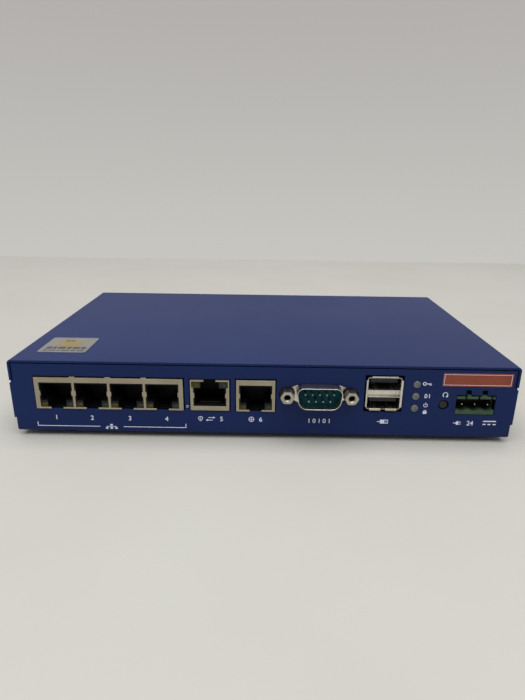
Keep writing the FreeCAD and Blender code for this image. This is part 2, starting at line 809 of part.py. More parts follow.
def serial_pins():
    pins = []
    tip = flange_front - SHELL_LENGTH + SERIAL_PIN_RECESS
    back = insulator_span()[1]
    for x, row in serial_pin_places():
        z = serial_z + row * SERIAL_ROW
        end = back + SERIAL_TAIL_STEP * (1 + (row + 1) / 4)
        nose = Part.makeCone(SERIAL_PIN_NOSE, SERIAL_PIN_RADIUS, SERIAL_PIN_RADIUS, V(x, tip, z), AXIS_Y)
        pin = rod_y(x, (tip + SERIAL_PIN_RADIUS, end), z, SERIAL_PIN_RADIUS)
        tail = block(span(x, SERIAL_TAIL), (end - SERIAL_TAIL, end), (board_top, z))
        pins.append(fused([nose, pin, tail]))
    return pins


def serial_jackscrews():
    screws = []
    tip = flange_front - JACKSCREW_LENGTH
    corner = JACKSCREW_FLATS / math.sqrt(3)
    for x in jackscrew_places():
        angles = [math.radians(60 * i) for i in range(6)]
        outline = [(x + corner * math.cos(a), serial_z + corner * math.sin(a)) for a in angles]
        nut = prism_y(outline, (tip, flange_front))
        flat = JACKSCREW_FLATS / 2
        crown = Part.makeCone(flat, flat + JACKSCREW_LENGTH, JACKSCREW_LENGTH, V(x, tip, serial_z), AXIS_Y)
        nut = nut.common(crown)
        stud = rod_y(x, (flange_front, flange_front + JACKSCREW_STUD_LENGTH), serial_z, JACKSCREW_STUD)
        bore = rod_y(x, (tip, flange_front), serial_z, JACKSCREW_BORE)
        screws.append(fused([nut, stud]).cut(bore))
    return screws


def serial_bracket():
    """Two angle pieces: an upright lug that the jackscrew threads into, and a foot on the board."""
    lugs = []
    front = flange_front + FLANGE_THICKNESS
    for x in jackscrew_places():
        wide = span(x, BRACKET_SIZE[0])
        upright = block(wide, (front, front + BRACKET_SHEET), (board_top, serial_z + BRACKET_SIZE[0] / 2))
        foot = block(wide, (front, front + BRACKET_SIZE[1]), (board_top, board_top + BRACKET_SHEET))
        hole = rod_y(x, (front, front + BRACKET_SHEET), serial_z, JACKSCREW_STUD + THREAD_PLAY)
        lugs.append(fused([upright, foot]).cut(hole))
    return lugs


# Stacked double USB socket

usb_front = front_y - USB_PROUD
usb_back = front_y + USB_DEPTH
usb_low = board_top + USB_LIFT
usb_top = usb_low + USB_HEIGHT
usb_floors = (usb_low + USB_WALL, usb_top - USB_WALL - USB_OPENING)


def lip_profile(edge, outward):
    """A sheet that leans out of the mouth: pairs of y and a second coordinate."""
    tip = usb_front - USB_LIP
    inner = edge - outward * USB_WALL
    return [
        (usb_front, edge),
        (usb_front, inner),
        (tip, edge + outward * (USB_LIP - USB_WALL)),
        (tip, edge + outward * USB_LIP),
    ]


def usb_shell():
    shell = block(span(usb_x, USB_WIDTH), (usb_front, usb_back), (usb_low, usb_top))
    bay = span(usb_x, USB_WIDTH - 2 * USB_WALL)
    for z in usb_floors:
        shell = shell.cut(block(bay, (usb_front, usb_back), (z, z + USB_OPENING)))
    middle = (usb_floors[0] + USB_OPENING + USB_WALL, usb_floors[1] - USB_WALL)
    shell = shell.cut(block(bay, (usb_front + USB_WALL, usb_back), middle))
    pieces = [shell, prism_x(lip_profile(usb_top, 1), span(usb_x, USB_TOP_LIP))]
    for side in (-1, 1):
        x = usb_x + side * USB_BOTTOM_LIP_PITCH / 2
        pieces.append(prism_x(lip_profile(usb_low, -1), span(x, USB_BOTTOM_LIP)))
        edge = usb_x + side * USB_WIDTH / 2
        leaning = [(x, y) for y, x in lip_profile(edge, side)]
        pieces.append(prism_z(leaning, span((usb_low + usb_top) / 2, USB_SIDE_LIP)))
        wall = sorted((edge, edge - side * USB_WALL))
        pieces.append(block(wall, (panel_back + BOARD_SETBACK, usb_back), (board_top, usb_low)))
    for z in usb_floors:
        pieces += [usb_finger(usb_x + side * USB_FINGER_OFFSET, z) for side in (-1, 1)]
    return fused(pieces)


def usb_finger(x, z):
    """A spring finger that rises from an opening's floor towards the back."""
    start = usb_front + USB_FINGER_SETBACK
    end = start + USB_FINGER_LENGTH
    profile = [
        (start, z),
        (start + USB_WALL, z),
        (end, z + USB_FINGER_RISE - USB_WALL),
        (end, z + USB_FINGER_RISE),
    ]
    return prism_x(profile, span(x, USB_FINGER_WIDTH))


def usb_tongues():
    tongues = []
    for z in usb_floors:
        top = z + USB_OPENING
        root_y = usb_front + TONGUE_ROOT
        high = top - TONGUE_DROP
        tongue = block(
            span(usb_x, TONGUE_WIDTH), (usb_front + TONGUE_SETBACK, root_y), (high - TONGUE_THICKNESS, high)
        )
        root = block(span(usb_x, USB_WIDTH - 2 * USB_WALL), (root_y, usb_back), (z, top))
        tongues.append(fused([tongue, root]))
    return tongues


def usb_contacts():
    contacts = []
    for z in usb_floors:
        top = z + USB_OPENING - TONGUE_DROP - TONGUE_THICKNESS
        y = (usb_front + TONGUE_SETBACK + USB_WALL, usb_front + TONGUE_ROOT)
        for offset in USB_CONTACT_OFFSETS:
            wide = span(usb_x + offset, USB_CONTACT_WIDTH)
            contacts.append(block(wide, y, (top - USB_CONTACT_THICKNESS, top)))
    return contacts


# Power header


def pole_places():
    return [power_x + (i - (POWER_POLES - 1) / 2) * POWER_PITCH for i in range(POWER_POLES)]


def power_header():
    width = power_width
    face = front_y + POWER_SETBACK
    back = face + POWER_DEPTH
    top = board_top + POWER_HEIGHT
    pin_z = board_top + POWER_PIN_RISE
    body = block(span(power_x, width), (face, back), (board_top, top))
    pocket_z = (board_top + POWER_LEDGE, top - POWER_ROOF)
    pocket_y = (face, face + POWER_POCKET_DEPTH)
    body = body.cut(block(span(power_x, width - 2 * POWER_END_WALL), pocket_y, pocket_z))
    body = body.cut(block(span(power_x, width), (face, face + POWER_END_SETBACK), pocket_z))
    for x in pole_places():
        body = body.cut(rod_y(x, pocket_y, pin_z - POWER_BAY_DROP, POWER_BAY_RADIUS))
        groove = span(x + POWER_GROOVE_OFFSET, POWER_GROOVE)
        body = body.cut(block(groove, (face, face + POWER_GROOVE_DEPTH), (pocket_z[1], top)))
        body = body.cut(block(span(x, POWER_PIN), (face, back), span(pin_z, POWER_PIN)))
    return body


def power_pins():
    pins = []
    tip = front_y + POWER_PIN_RECESS
    back = front_y + POWER_SETBACK + POWER_DEPTH
    pin_z = board_top + POWER_PIN_RISE
    for x in pole_places():
        pin = block(span(x, POWER_PIN), (tip, back + POWER_PIN), span(pin_z, POWER_PIN))
        nose = [e for e in pin.Edges if abs(e.BoundBox.YMax - tip) < NEAR]
        pin = pin.makeChamfer(POWER_PIN_CHAMFER, nose)
        tail = block(span(x, POWER_PIN), (back, back + POWER_PIN), (board_top, pin_z))
        pins.append(fused([pin, tail]))
    return pins


# Status lamps and reset button


def lamp_heights():
    middle = (LAMP_COUNT - 1) / 2
    return [base_z + LAMP_RISE + (i - middle) * LAMP_PITCH for i in range(LAMP_COUNT)]


def status_led_holder():
    y = (panel_back + HOLDER_GAP, panel_back + HOLDER_GAP + HOLDER_DEPTH)
    top = lamp_heights()[-1] + HOLDER_WIDTH / 2
    holder = block(span(lamp_x, HOLDER_WIDTH), y, (board_top, top))
    for z in lamp_heights():
        holder = holder.cut(rod_y(lamp_x, y, z, LENS_RADIUS + THREAD_PLAY))
    return holder


def status_leds():
    leds = []
    back = panel_back + HOLDER_GAP + HOLDER_DEPTH
    for z in lamp_heights():
        ball = (LENS_RADIUS ** 2 + LENS_DOME ** 2) / (2 * LENS_DOME)
        barrel = rod_y(lamp_x, (front_y - LENS_DOME, back), z, LENS_RADIUS)
        dome = Part.makeSphere(ball, V(lamp_x, front_y - LENS_DOME + ball, z))
        behind = rod_y(lamp_x, (front_y, back), z, LENS_RADIUS)
        leds.append(fused([barrel.common(dome), behind]))
    return leds


switch_front = panel_back + SWITCH_GAP
reset_z = base_z + RESET_RISE
collar_front = switch_front + SWITCH_WALL + RESET_FIT
collar_back = collar_front + RESET_COLLAR_THICKNESS


def reset_switch():
    """The switch's case, with a bore for the button and a wider chamber for the button's collar."""
    y = (switch_front, switch_front + SWITCH_SIZE[1])
    low = reset_z - SWITCH_SIZE[2] / 2
    case = block(span(reset_x, SWITCH_SIZE[0]), y, (board_top, low + SWITCH_SIZE[2]))
    bore = rod_y(reset_x, (switch_front, collar_front), reset_z, RESET_RADIUS + RESET_FIT)
    chamber = (switch_front + SWITCH_WALL, collar_back + RESET_TRAVEL + RESET_BOLT)
    wide = rod_y(reset_x, chamber, reset_z, RESET_RADIUS + RESET_COLLAR + RESET_FIT)
    return case.cut(fused([bore, wide]))


def reset_button():
    stem = rod_y(reset_x, (front_y + RESET_RECESS, collar_back), reset_z, RESET_RADIUS)
    nose = [e for e in stem.Edges if abs(e.BoundBox.YMax - front_y - RESET_RECESS) < NEAR]
    stem = stem.makeFillet(RESET_ROUND, nose)
    collar = rod_y(reset_x, (collar_front, collar_back), reset_z, RESET_RADIUS + RESET_COLLAR)
    return fused([stem, collar])


# Parts on the main board


def on_board(x, setback, size):
    y = board_front + setback
    return block(span(x, size[0]), span(y, size[1]), (board_top, board_top + size[2]))


def setbacks(first, pitch, count):
    return [first + i * pitch for i in range(count)]


def line_transformers():
    places = lan.ports + second_jack.ports + third_jack.ports
    return [on_board(x, TRANSFORMER_SETBACK, TRANSFORMER_SIZE) for x in places]


def electrolytic_capacitors():
    cans = []
    row = setbacks(CAPACITOR_SETBACK, CAPACITOR_PITCH, CAPACITOR_COUNT)
    places = [(power_x - CAPACITOR_OFFSET, setback) for setback in row]
    places.append((power_x - OUTPUT_CAPACITOR_OFFSET, OUTPUT_CAPACITOR_SETBACK))
    for x, setback in places:
        can = rod_z(x, board_front + setback, (board_top, board_top + CAPACITOR_HEIGHT), CAPACITOR_RADIUS)
        cans.append(can.makeFillet(CAPACITOR_ROUND, edges_at(can, board_top + CAPACITOR_HEIGHT)))
    return cans


def inductor_row():
    return setbacks(INDUCTOR_SETBACK, INDUCTOR_PITCH, INDUCTOR_COUNT)


def power_inductors():
    return [on_board(power_x - INDUCTOR_OFFSET, setback, INDUCTOR_SIZE) for setback in inductor_row()]


def power_converter_chips():
    last = inductor_row()[-1] + INDUCTOR_SIZE[1] / 2
    row = setbacks(last + CONVERTER_GAP + CONVERTER_SIZE[1] / 2, CONVERTER_PITCH, CONVERTER_COUNT)
    return [on_board(power_x - INDUCTOR_OFFSET, setback, CONVERTER_SIZE) for setback in row]


def input_fuse():
    x = board_half - FUSE_INSET - FUSE_SIZE[0] / 2
    last = CAPACITOR_SETBACK + (CAPACITOR_COUNT - 1) * CAPACITOR_PITCH + CAPACITOR_RADIUS
    return on_board(x, last + FUSE_GAP + FUSE_SIZE[1] / 2, FUSE_SIZE)


def memory_chips():
    x = PROCESSOR_SIZE[0] / 2 + MEMORY_GAP + MEMORY_SIZE[0] / 2
    row = setbacks(processor_setback - MEMORY_LEAD, MEMORY_PITCH, MEMORY_COUNT)
    return [on_board(x, setback, MEMORY_SIZE) for setback in row]


def crystals():
    behind_sink = processor_setback + SINK_SIZE[1] / 2 + TIMER_CRYSTAL_GAP + CRYSTAL_SIZE[1] / 2
    clock = on_board(-CLOCK_CRYSTAL_OFFSET, processor_setback - CLOCK_CRYSTAL_LEAD, CRYSTAL_SIZE)
    timer = on_board(-TIMER_CRYSTAL_OFFSET, behind_sink, CRYSTAL_SIZE)
    return [clock, timer]


def thermal_pad():
    low = board_top + PROCESSOR_SIZE[2]
    y = board_front + processor_setback
    return block(span(0, PROCESSOR_SIZE[0]), span(y, PROCESSOR_SIZE[1]), (low, low + PAD_THICKNESS))


def heat_sink():
    low = board_top + PROCESSOR_SIZE[2] + PAD_THICKNESS
    x = span(0, SINK_SIZE[0])
    y = span(board_front + processor_setback, SINK_SIZE[1])
    sink = [block(x, y, (low, low + SINK_BASE))]
    pitch = (SINK_SIZE[0] - SINK_FIN) / (SINK_FINS - 1)
    for i in range(SINK_FINS):
        left = x[0] + i * pitch
        sink.append(block((left, left + SINK_FIN), y, (low + SINK_BASE, low + SINK_SIZE[2])))
    return fused(sink)


def chip_capacitors():
    """Rows of small parts in front of and behind the processor, and beside the network switch chip."""
    chips = []
    for i in range(CHIP_RING):
        offset = (i - (CHIP_RING - 1) / 2) * CHIP_RING_PITCH
        for side in (-1, 1):
            beyond = side * (SINK_SIZE[1] / 2 + CHIP_SIZE[0])
            chips.append(on_board(offset, processor_setback + beyond, CHIP_SIZE))
            beside = side * (NETWORK_CHIP_SIZE[1] / 2 + CHIP_SIZE[0])
            chips.append(on_board(network_chip_x + offset, network_chip_setback + beside, CHIP_SIZE))
    return chips


lan = Jack(lan_x, LAN_PORTS, lan_width, LAN_HEIGHT, False)
second_jack = Jack(second_jack_x, 1, single_width, SECOND_JACK_HEIGHT, True)
third_jack = Jack(third_jack_x, 1, single_width, THIRD_JACK_HEIGHT, False)
jacks = {"lan_jack": lan, "dmz_jack": second_jack, "wan_jack": third_jack}

save("base_chassis", base_chassis())
save("top_cover", top_cover())
save("cover_screws", cover_screws())
save("rubber_feet", rubber_feet())
save("front_label", front_label())
save("top_label", top_label())
save("rating_label", rating_label())
save("main_board", main_board())
save("board_standoffs", board_standoffs())
save("board_screws", board_screws())
for name, jack in jacks.items():
    save(name + "_shield", jack.shield())
    save(name + "_housing", jack.housing())
    save(name + "_contacts", jack.contacts())
save("port_leds_amber", [lamp for jack in jacks.values() for lamp in jack.lamps(-1)])
save("port_leds_green", [lamp for jack in jacks.values() for lamp in jack.lamps(1)])
save("serial_shell", serial_shell())
save("serial_insulator", serial_insulator())
save("serial_pins", serial_pins())
save("serial_jackscrews", serial_jackscrews())
save("serial_bracket", serial_bracket())
save("usb_shell", usb_shell())
save("usb_tongues", usb_tongues())
save("usb_contacts", usb_contacts())
save("power_header", power_header())
save("power_pins", power_pins())
save("status_led_holder", status_led_holder())
save("status_leds", status_leds())
save("reset_switch", reset_switch())
save("reset_button", reset_button())
save("processor", on_board(0, processor_setback, PROCESSOR_SIZE))
save("thermal_pad", thermal_pad())
save("heat_sink", heat_sink())
save("network_switch_chip", on_board(network_chip_x, network_chip_setback, NETWORK_CHIP_SIZE))
save("memory_chips", memory_chips())
save("flash_chip", on_board(-FLASH_OFFSET, processor_setback + FLASH_LAG, FLASH_SIZE))
save("serial_driver_chip", on_board(serial_x + DRIVER_OFFSET, DRIVER_SETBACK, DRIVER_SIZE))
save("line_transformers", line_transformers())
save("power_inductors", power_inductors())
save("electrolytic_capacitors", electrolytic_capacitors())
save("power_converter_chips", power_converter_chips())
save("input_fuse", input_fuse())
save("crystals", crystals())
save("chip_capacitors", chip_capacitors())
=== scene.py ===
# Desktop firewall appliance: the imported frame, dressed with modelled pieces and finishes
import bpy
import bmesh
import math
from bmesh.types import BMEdge, BMFace, BMVert
from mathutils import Matrix, Vector


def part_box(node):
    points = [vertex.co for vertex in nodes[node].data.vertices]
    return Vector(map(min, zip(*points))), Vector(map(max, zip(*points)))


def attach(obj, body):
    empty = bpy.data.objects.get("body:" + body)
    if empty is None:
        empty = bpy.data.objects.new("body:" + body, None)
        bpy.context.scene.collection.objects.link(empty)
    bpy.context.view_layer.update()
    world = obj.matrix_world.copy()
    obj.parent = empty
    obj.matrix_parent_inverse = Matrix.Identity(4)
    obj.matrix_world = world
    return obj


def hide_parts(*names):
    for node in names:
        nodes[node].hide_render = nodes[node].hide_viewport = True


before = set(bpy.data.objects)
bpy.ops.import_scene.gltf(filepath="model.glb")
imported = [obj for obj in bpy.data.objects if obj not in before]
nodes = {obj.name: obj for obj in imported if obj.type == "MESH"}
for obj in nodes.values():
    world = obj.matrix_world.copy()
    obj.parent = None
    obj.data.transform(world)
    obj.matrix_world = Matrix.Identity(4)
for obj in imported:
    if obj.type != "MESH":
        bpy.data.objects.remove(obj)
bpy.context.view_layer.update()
scene = bpy.context.scene
mm = 0.001  # shapes are drawn in millimetres, and brought to metres when a piece is finished
right, back, up = Vector((1, 0, 0)), Vector((0, 1, 0)), Vector((0, 0, 1))
print("frame loaded:", len(nodes), "nodes")


def nodeBox(name):
    low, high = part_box(name)
    return low / mm, high / mm


def around(centre, size):
    return (centre - size / 2, centre + size / 2)


def rectangle(x0, y0, x1, y1):
    return [(x0, y0), (x1, y0), (x1, y1), (x0, y1)]


def pick(items, kind):
    return [item for item in items if isinstance(item, kind)]


def fresh(items, known):
    return [item for item in items if item not in known]


def roundOff(bm, items, width, steps=2, affect="EDGES"):
    return bmesh.ops.bevel(bm, geom=items, offset=width, segments=steps, profile=0.5, affect=affect, material=-1)


def addBlock(bm, x, y, z, soften=0.0, finish=0):
    size = Vector((x[1] - x[0], y[1] - y[0], z[1] - z[0]))
    centre = Vector((x[0] + x[1], y[0] + y[1], z[0] + z[1])) / 2
    place = Matrix.Translation(centre) @ Matrix.Diagonal((*size, 1.0))
    corners = bmesh.ops.create_cube(bm, size=1.0, matrix=place)["verts"]
    for face in {face for corner in corners for face in corner.link_faces}:
        face.material_index = finish
    if soften:
        roundOff(bm, list({edge for corner in corners for edge in corner.link_edges}), soften)


def addPlate(bm, outline, depth, corner=0.0, steps=4):
    # a flat outline with rounded corners, raised by depth; gives back the raised face
    points = [bm.verts.new(point) for point in outline]
    face = bm.faces.new(points)
    if corner:
        face = roundOff(bm, points, corner, steps, "VERTICES")["verts"][0].link_faces[0]
    raised = bmesh.ops.extrude_face_region(bm, geom=[face])["geom"]
    bmesh.ops.translate(bm, vec=depth, verts=pick(raised, BMVert))
    bmesh.ops.recalc_face_normals(bm, faces=bm.faces)
    return pick(raised, BMFace)[0]


def turned(degrees, axis):
    return Matrix.Rotation(math.radians(degrees), 4, axis)


def arc(u, v, radius, start, end, steps=4):
    angles = [math.radians(start + (end - start) * i / steps) for i in range(1, steps + 1)]
    return [(u + radius * math.cos(angle), v + radius * math.sin(angle)) for angle in angles]


def addRim(bm, face, profile):
    # profile: pairs of inward offset and height, measured from the face's own outline
    inward, height = 0.0, 0.0
    for nextInward, nextHeight in profile:
        bmesh.ops.inset_region(bm, faces=[face], thickness=nextInward - inward,
                               depth=nextHeight - height, use_even_offset=True)
        inward, height = nextInward, nextHeight


def addTurned(bm, profile, centre, axis, steps=32, finish=0):
    # profile: pairs of radius and distance along the axis
    known = set(bm.faces)
    centre = Vector(centre)
    points = [bm.verts.new(centre + right * radius + axis * along) for radius, along in profile]
    lines = [bm.edges.new(pair) for pair in zip(points, points[1:])]
    bmesh.ops.spin(bm, geom=points + lines, cent=centre, axis=axis, angle=math.tau, steps=steps, use_merge=True)
    made = fresh(bm.faces, known)
    for face in made:
        face.material_index = finish
    bmesh.ops.remove_doubles(bm, verts=list({corner for face in made for corner in face.verts}), dist=0.0005)


def addRibbon(bm, path, x, thickness, bend, finish=0, turn=None):
    # a strip of sheet or wire: pairs of y and z, swept across x and given its thickness
    known, knownFaces = set(bm.verts), set(bm.faces)
    points = [bm.verts.new((x[0], y, z)) for y, z in path]
    lines = [bm.edges.new(pair) for pair in zip(points, points[1:])]
    swept = bmesh.ops.extrude_edge_only(bm, edges=lines)["geom"]
    bmesh.ops.translate(bm, vec=(x[1] - x[0], 0, 0), verts=pick(swept, BMVert))
    strip = pick(swept, BMFace)
    roundOff(bm, list({edge for face in strip for edge in face.edges if len(edge.link_faces) == 2}), bend, 3)
    faces = fresh(bm.faces, knownFaces)
    for face in faces:
        face.material_index = finish
    bmesh.ops.solidify(bm, geom=faces, thickness=thickness)
    if turn:
        bmesh.ops.transform(bm, matrix=turn, verts=fresh(bm.verts, known))


def growLoop(bm, edges, move, scale=1.0, centre=None):
    # extrudes an edge loop, moves it and scales it about a centre; gives back the new loop
    made = bmesh.ops.extrude_edge_only(bm, edges=edges)["geom"]
    points = pick(made, BMVert)
    bmesh.ops.translate(bm, vec=move, verts=points)
    if scale != 1.0:
        for point in points:
            point.co = centre + (point.co - centre) * scale
    return [edge for edge in pick(made, BMEdge) if set(edge.verts) <= set(points)]


def newObject(name, data):
    made = bpy.data.objects.new(name, data)
    scene.collection.objects.link(made)
    return made


def meshObject(name, bm, finishes):
    bmesh.ops.scale(bm, vec=(mm, mm, mm), verts=bm.verts)
    mesh = bpy.data.meshes.new(name)
    bm.to_mesh(mesh)
    bm.free()
    for finish in finishes:
        mesh.materials.append(finish)
    return newObject(name, mesh)


def newPiece(name, bm, finishes, hides=(), body="appliance", crease=35):
    bmesh.ops.recalc_face_normals(bm, faces=bm.faces)
    for face in bm.faces:
        face.smooth = True
    for edge in bm.edges:
        edge.smooth = len(edge.link_faces) == 2 and edge.calc_face_angle(0) < math.radians(crease)
    piece = meshObject(name, bm, finishes)
    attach(piece, body)
    if hides:
        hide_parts(*hides)
    return piece


def mergedCopy(node):
    bm = bmesh.new()
    bm.from_mesh(nodes[node].data)
    bmesh.ops.scale(bm, vec=(1 / mm, 1 / mm, 1 / mm), verts=bm.verts)
    bmesh.ops.remove_doubles(bm, verts=bm.verts, dist=0.002)
    bmesh.ops.dissolve_limit(bm, angle_limit=math.radians(1), verts=bm.verts, edges=bm.edges)
    for face in bm.faces:
        face.material_index = 0
    return bm


def softenedCopy(name, node, finish, width, least=0.0, bm=None):
    # the node's own shape with its sharp edges broken, all but the rims smaller than least
    bm = bm or mergedCopy(node)
    weights = bm.edges.layers.float.new("bevel_weight_edge")
    sharp = {edge for edge in bm.edges if edge.calc_face_angle(0) > math.radians(40)}
    while sharp:
        rim, ahead = [], [sharp.pop()]
        while ahead:
            rim.append(ahead.pop())
            joined = {edge for corner in rim[-1].verts for edge in corner.link_edges} & sharp
            sharp -= joined
            ahead += joined
        corners = [corner.co for edge in rim for corner in edge.verts]
        if max(max(line) - min(line) for line in zip(*corners)) >= least:
            for edge in rim:
                edge[weights] = 1.0
    piece = newPiece(name, bm, [finish], [node])
    edges = piece.modifiers.new("brokenEdges", "BEVEL")
    edges.width = width * mm
    edges.segments = 2
    edges.limit_method = "WEIGHT"
    edges.use_clamp_overlap = False
    edges.harden_normals = True
    return piece


def linear(hexColour):
    values = [int(hexColour[i:i + 2], 16) / 255 for i in (1, 3, 5)]
    return (*[v / 12.92 if v <= 0.04045 else ((v + 0.055) / 1.055) ** 2.4 for v in values], 1.0)


def addNode(tree, kind, settings=None, links=None):
    node = tree.nodes.new("ShaderNode" + kind)
    for key, value in (settings or {}).items():
        if isinstance(key, int) or key in node.inputs:
            node.inputs[key].default_value = value
        else:
            setattr(node, key, value)
    for key, source in (links or {}).items():  # a node stands for its first output
        tree.links.new(source.outputs[0] if isinstance(source, bpy.types.Node) else source, node.inputs[key])
    return node


def perMetre(size):
    return 1 / (size * mm)  # noise scale for a feature of that many millimetres


def newFinish(name, settings, tones, patch, roughness, grain, relief):
    # two tones drifting over a patch size, a roughness range that follows, and a fine relief
    finish = bpy.data.materials.new(name)
    finish.use_nodes = True
    tree = finish.node_tree
    tree.nodes.clear()
    shader = addNode(tree, "BsdfPrincipled", settings)
    addNode(tree, "OutputMaterial", links={"Surface": shader})
    place = addNode(tree, "TexCoord").outputs["Object"]
    drift = addNode(tree, "TexNoise", {"Scale": perMetre(patch), "Detail": 3.0}, {"Vector": place})
    spread = addNode(tree, "MapRange", {1: 0.35, 2: 0.65}, {0: drift})
    tone = addNode(tree, "Mix", {"data_type": "RGBA", 6: linear(tones[0]), 7: linear(tones[1])}, {0: spread})
    gloss = addNode(tree, "MapRange", {3: roughness[0], 4: roughness[1]}, {0: drift})
    fine = addNode(tree, "TexNoise", {"Scale": perMetre(grain), "Detail": 2.0}, {"Vector": place})
    bump = addNode(tree, "Bump", {"Strength": 0.5, "Distance": relief * mm}, {"Height": fine})
    tree.links.new(tone.outputs[2], shader.inputs["Base Color"])
    tree.links.new(gloss.outputs[0], shader.inputs["Roughness"])
    tree.links.new(bump.outputs[0], shader.inputs["Normal"])
    return finish, tree, shader, place, tone.outputs[2]


def plainFinish(*look):
    return newFinish(*look)[0]


def sheen(level):
    return {"Specular IOR Level": level}


metal = {"Metallic": 1.0}

# Polyester powder coat on folded steel: satin navy, a soft orange peel, and a paler grey tone mixed in where it
# faces up
coat = {"tones": ("#162a5e", "#152758"), "patch": 70, "roughness": (0.38, 0.46), "peel": 0.75,
        "relief": 0.03, "upTone": "#7d8296", "upToneAmount": 0.03, "speck": 0.3}
powderCoat, tree, shader, place, tone = newFinish(
    "bluePowderCoat", sheen(0.15), coat["tones"], coat["patch"], coat["roughness"], coat["peel"], coat["relief"])
speck = addNode(tree, "TexNoise", {"Scale": perMetre(coat["speck"]), "Detail": 1.0}, {"Vector": place})
speckRange = addNode(tree, "MapRange", {1: 0.3, 2: 0.7, 3: 0.93, 4: 1.07}, {0: speck})
flecked = addNode(tree, "Mix", {"data_type": "RGBA", "blend_type": "MULTIPLY", 0: 1.0}, {6: tone, 7: speckRange})
# faces pointing up get a few percent of a paler grey
facing = addNode(tree, "SeparateXYZ", links={0: addNode(tree, "NewGeometry").outputs["Normal"]})
level = addNode(tree, "MapRange", {1: 0.6, 2: 1.0, 3: 0.0, 4: coat["upToneAmount"]}, {0: facing.outputs[2]})
upToned = addNode(tree, "Mix", {"data_type": "RGBA", 7: linear(coat["upTone"])}, {0: level, 6: flecked.outputs[2]})
tree.links.new(upToned.outputs[2], shader.inputs["Base Color"])

# Bright-tinned sheet steel: pale, faintly warm, with cloudy dull patches
tinnedSheet = plainFinish("tinnedSheet", metal, ("#aba390", "#a39b87"), 9, (0.34, 0.44), 0.5, 0.008)

# Nickel-plated drawn steel: brighter and cooler than the tin
nickelPlate = plainFinish("nickelPlate", metal, ("#dedbd3", "#cac6bc"), 4, (0.20, 0.32), 0.4, 0.006)

# Turned parts in an older nickel: the same metal gone dull and a little straw
dullNickel = plainFinish("dullNickel", metal, ("#bcb9a9", "#a8a499"), 3, (0.26, 0.38), 0.4, 0.008)

# Zinc-plated steel with a clear passivation: grey with a slight blue and straw drift
zincPlate = plainFinish("zincPlate", metal, ("#b9bfc6", "#bdb9a9"), 5, (0.28, 0.42), 0.35, 0.01)

# Black zinc on screws: near black, dull sheen; the same finish is painted shade deep in the jackscrew bores and
# in the black rings under the jackscrews
blackZinc = plainFinish("blackZinc", metal, ("#3a3b40", "#2c2d31"), 2, (0.32, 0.45), 0.25, 0.01)

# Gold flash on phosphor bronze contacts
goldFlash = plainFinish("goldFlash", metal, ("#e0bd6c", "#c99d4c"), 2, (0.18, 0.30), 0.3, 0.004)

# The same flash darkened with painted shade, for contacts that sit deep in a socket
dullGold = plainFinish("dullGold", metal, ("#38342c", "#2b2823"), 2, (0.30, 0.44), 0.3, 0.006)

# Thin gold over nickel on the pin tips, so paler
paleGold = plainFinish("paleGold", metal, ("#a3ab9a", "#949c8c"), 2, (0.24, 0.36), 0.3, 0.004)

# Black glass-filled nylon: jack bodies, moulded with a fine spark-eroded grain
blackNylon = plainFinish("blackNylon", sheen(0.2), ("#0a0b0d", "#07080a"), 8, (0.42, 0.60), 0.25, 0.02)

# Charcoal ABS: button, lamp holder and switch case
charcoalPlastic = plainFinish("charcoalPlastic", sheen(0.45), ("#1f1f22", "#19191c"), 6, (0.38, 0.52), 0.3, 0.015)

# Near-black nylon of the socket tongues: duller than the charcoal
tongueNylon = plainFinish("tongueNylon", sheen(0.3), ("#2d3037", "#282b31"), 6, (0.45, 0.58), 0.3, 0.015)

# Teal polyester insulator: even, semi-matt, slightly mottled by its glass fibre
tealPolyester = plainFinish("tealPolyester", sheen(0.1), ("#0a4e5b", "#094451"), 3, (0.36, 0.50), 0.3, 0.012)

# Green polyamide terminal header: matt, with painted shade darkening it down inside its pocket
greenPolyamide, tree, shader, place, tone = newFinish(
    "greenPolyamide", sheen(0.4), ("#3c5640", "#344d38"), 5, (0.45, 0.62), 0.35, 0.02)
depth = addNode(tree, "SeparateXYZ", links={0: place})
pocket = nodeBox("power_header")[0].y * mm
# painted shade: the colour is multiplied darker from 1.2 mm to 3.2 mm behind the header's front
shaded = addNode(tree, "MapRange", {1: pocket + 1.2 * mm, 2: pocket + 3.2 * mm, 3: 1.0, 4: 0.25},
                 {0: depth.outputs[1]})
pocketShadeColour = addNode(tree, "Mix", {"data_type": "RGBA", "blend_type": "MULTIPLY", 0: 1.0}, {6: tone, 7: shaded})
tree.links.new(pocketShadeColour.outputs[2], shader.inputs["Base Color"])

# Port lamps: tinted polycarbonate, unlit and so dull, with a band of painted shade across the top of the low ones
portLamps = {
    "amber": {"tones": ("#48431f", "#3d391b"), "shadeBand": "#19181a", "die": ("#585026", "#4c4521")},
    "green": {"tones": ("#2b382f", "#232f28"), "shadeBand": "#121819", "die": ("#38493d", "#303f35")},
}
shadeBandEdge = (nodeBox("port_leds_amber")[0].z + 1.55) * mm
for colour, tint in portLamps.items():
    tint["lens"], tree, shader, place, tone = newFinish(
        colour + "LampLens", sheen(0.2), tint["tones"], 1.6, (0.30, 0.44), 0.5, 0.01)
    height = addNode(tree, "SeparateXYZ", links={0: place})
    # painted shade: a dark band mixed over the lamps' upper part, where the jack above shades them
    over = addNode(tree, "MapRange", {1: shadeBandEdge, 2: shadeBandEdge + 0.3 * mm}, {0: height.outputs[2]})
    under = addNode(tree, "MapRange", {1: shadeBandEdge + 2 * mm, 2: shadeBandEdge + 3 * mm, 3: 1.0, 4: 0.0},
                    {0: height.outputs[2]})
    shadeBand = addNode(tree, "Math", {"operation": "MULTIPLY"}, {0: over, 1: under})
    shadeBanded = addNode(tree, "Mix", {"data_type": "RGBA", 7: linear(tint["shadeBand"])}, {0: shadeBand, 6: tone})
    tree.links.new(shadeBanded.outputs[2], shader.inputs["Base Color"])
    tint["glow"] = plainFinish(colour + "LampDie", sheen(0.2), tint["die"], 0.8, (0.30, 0.44), 0.3, 0.006)

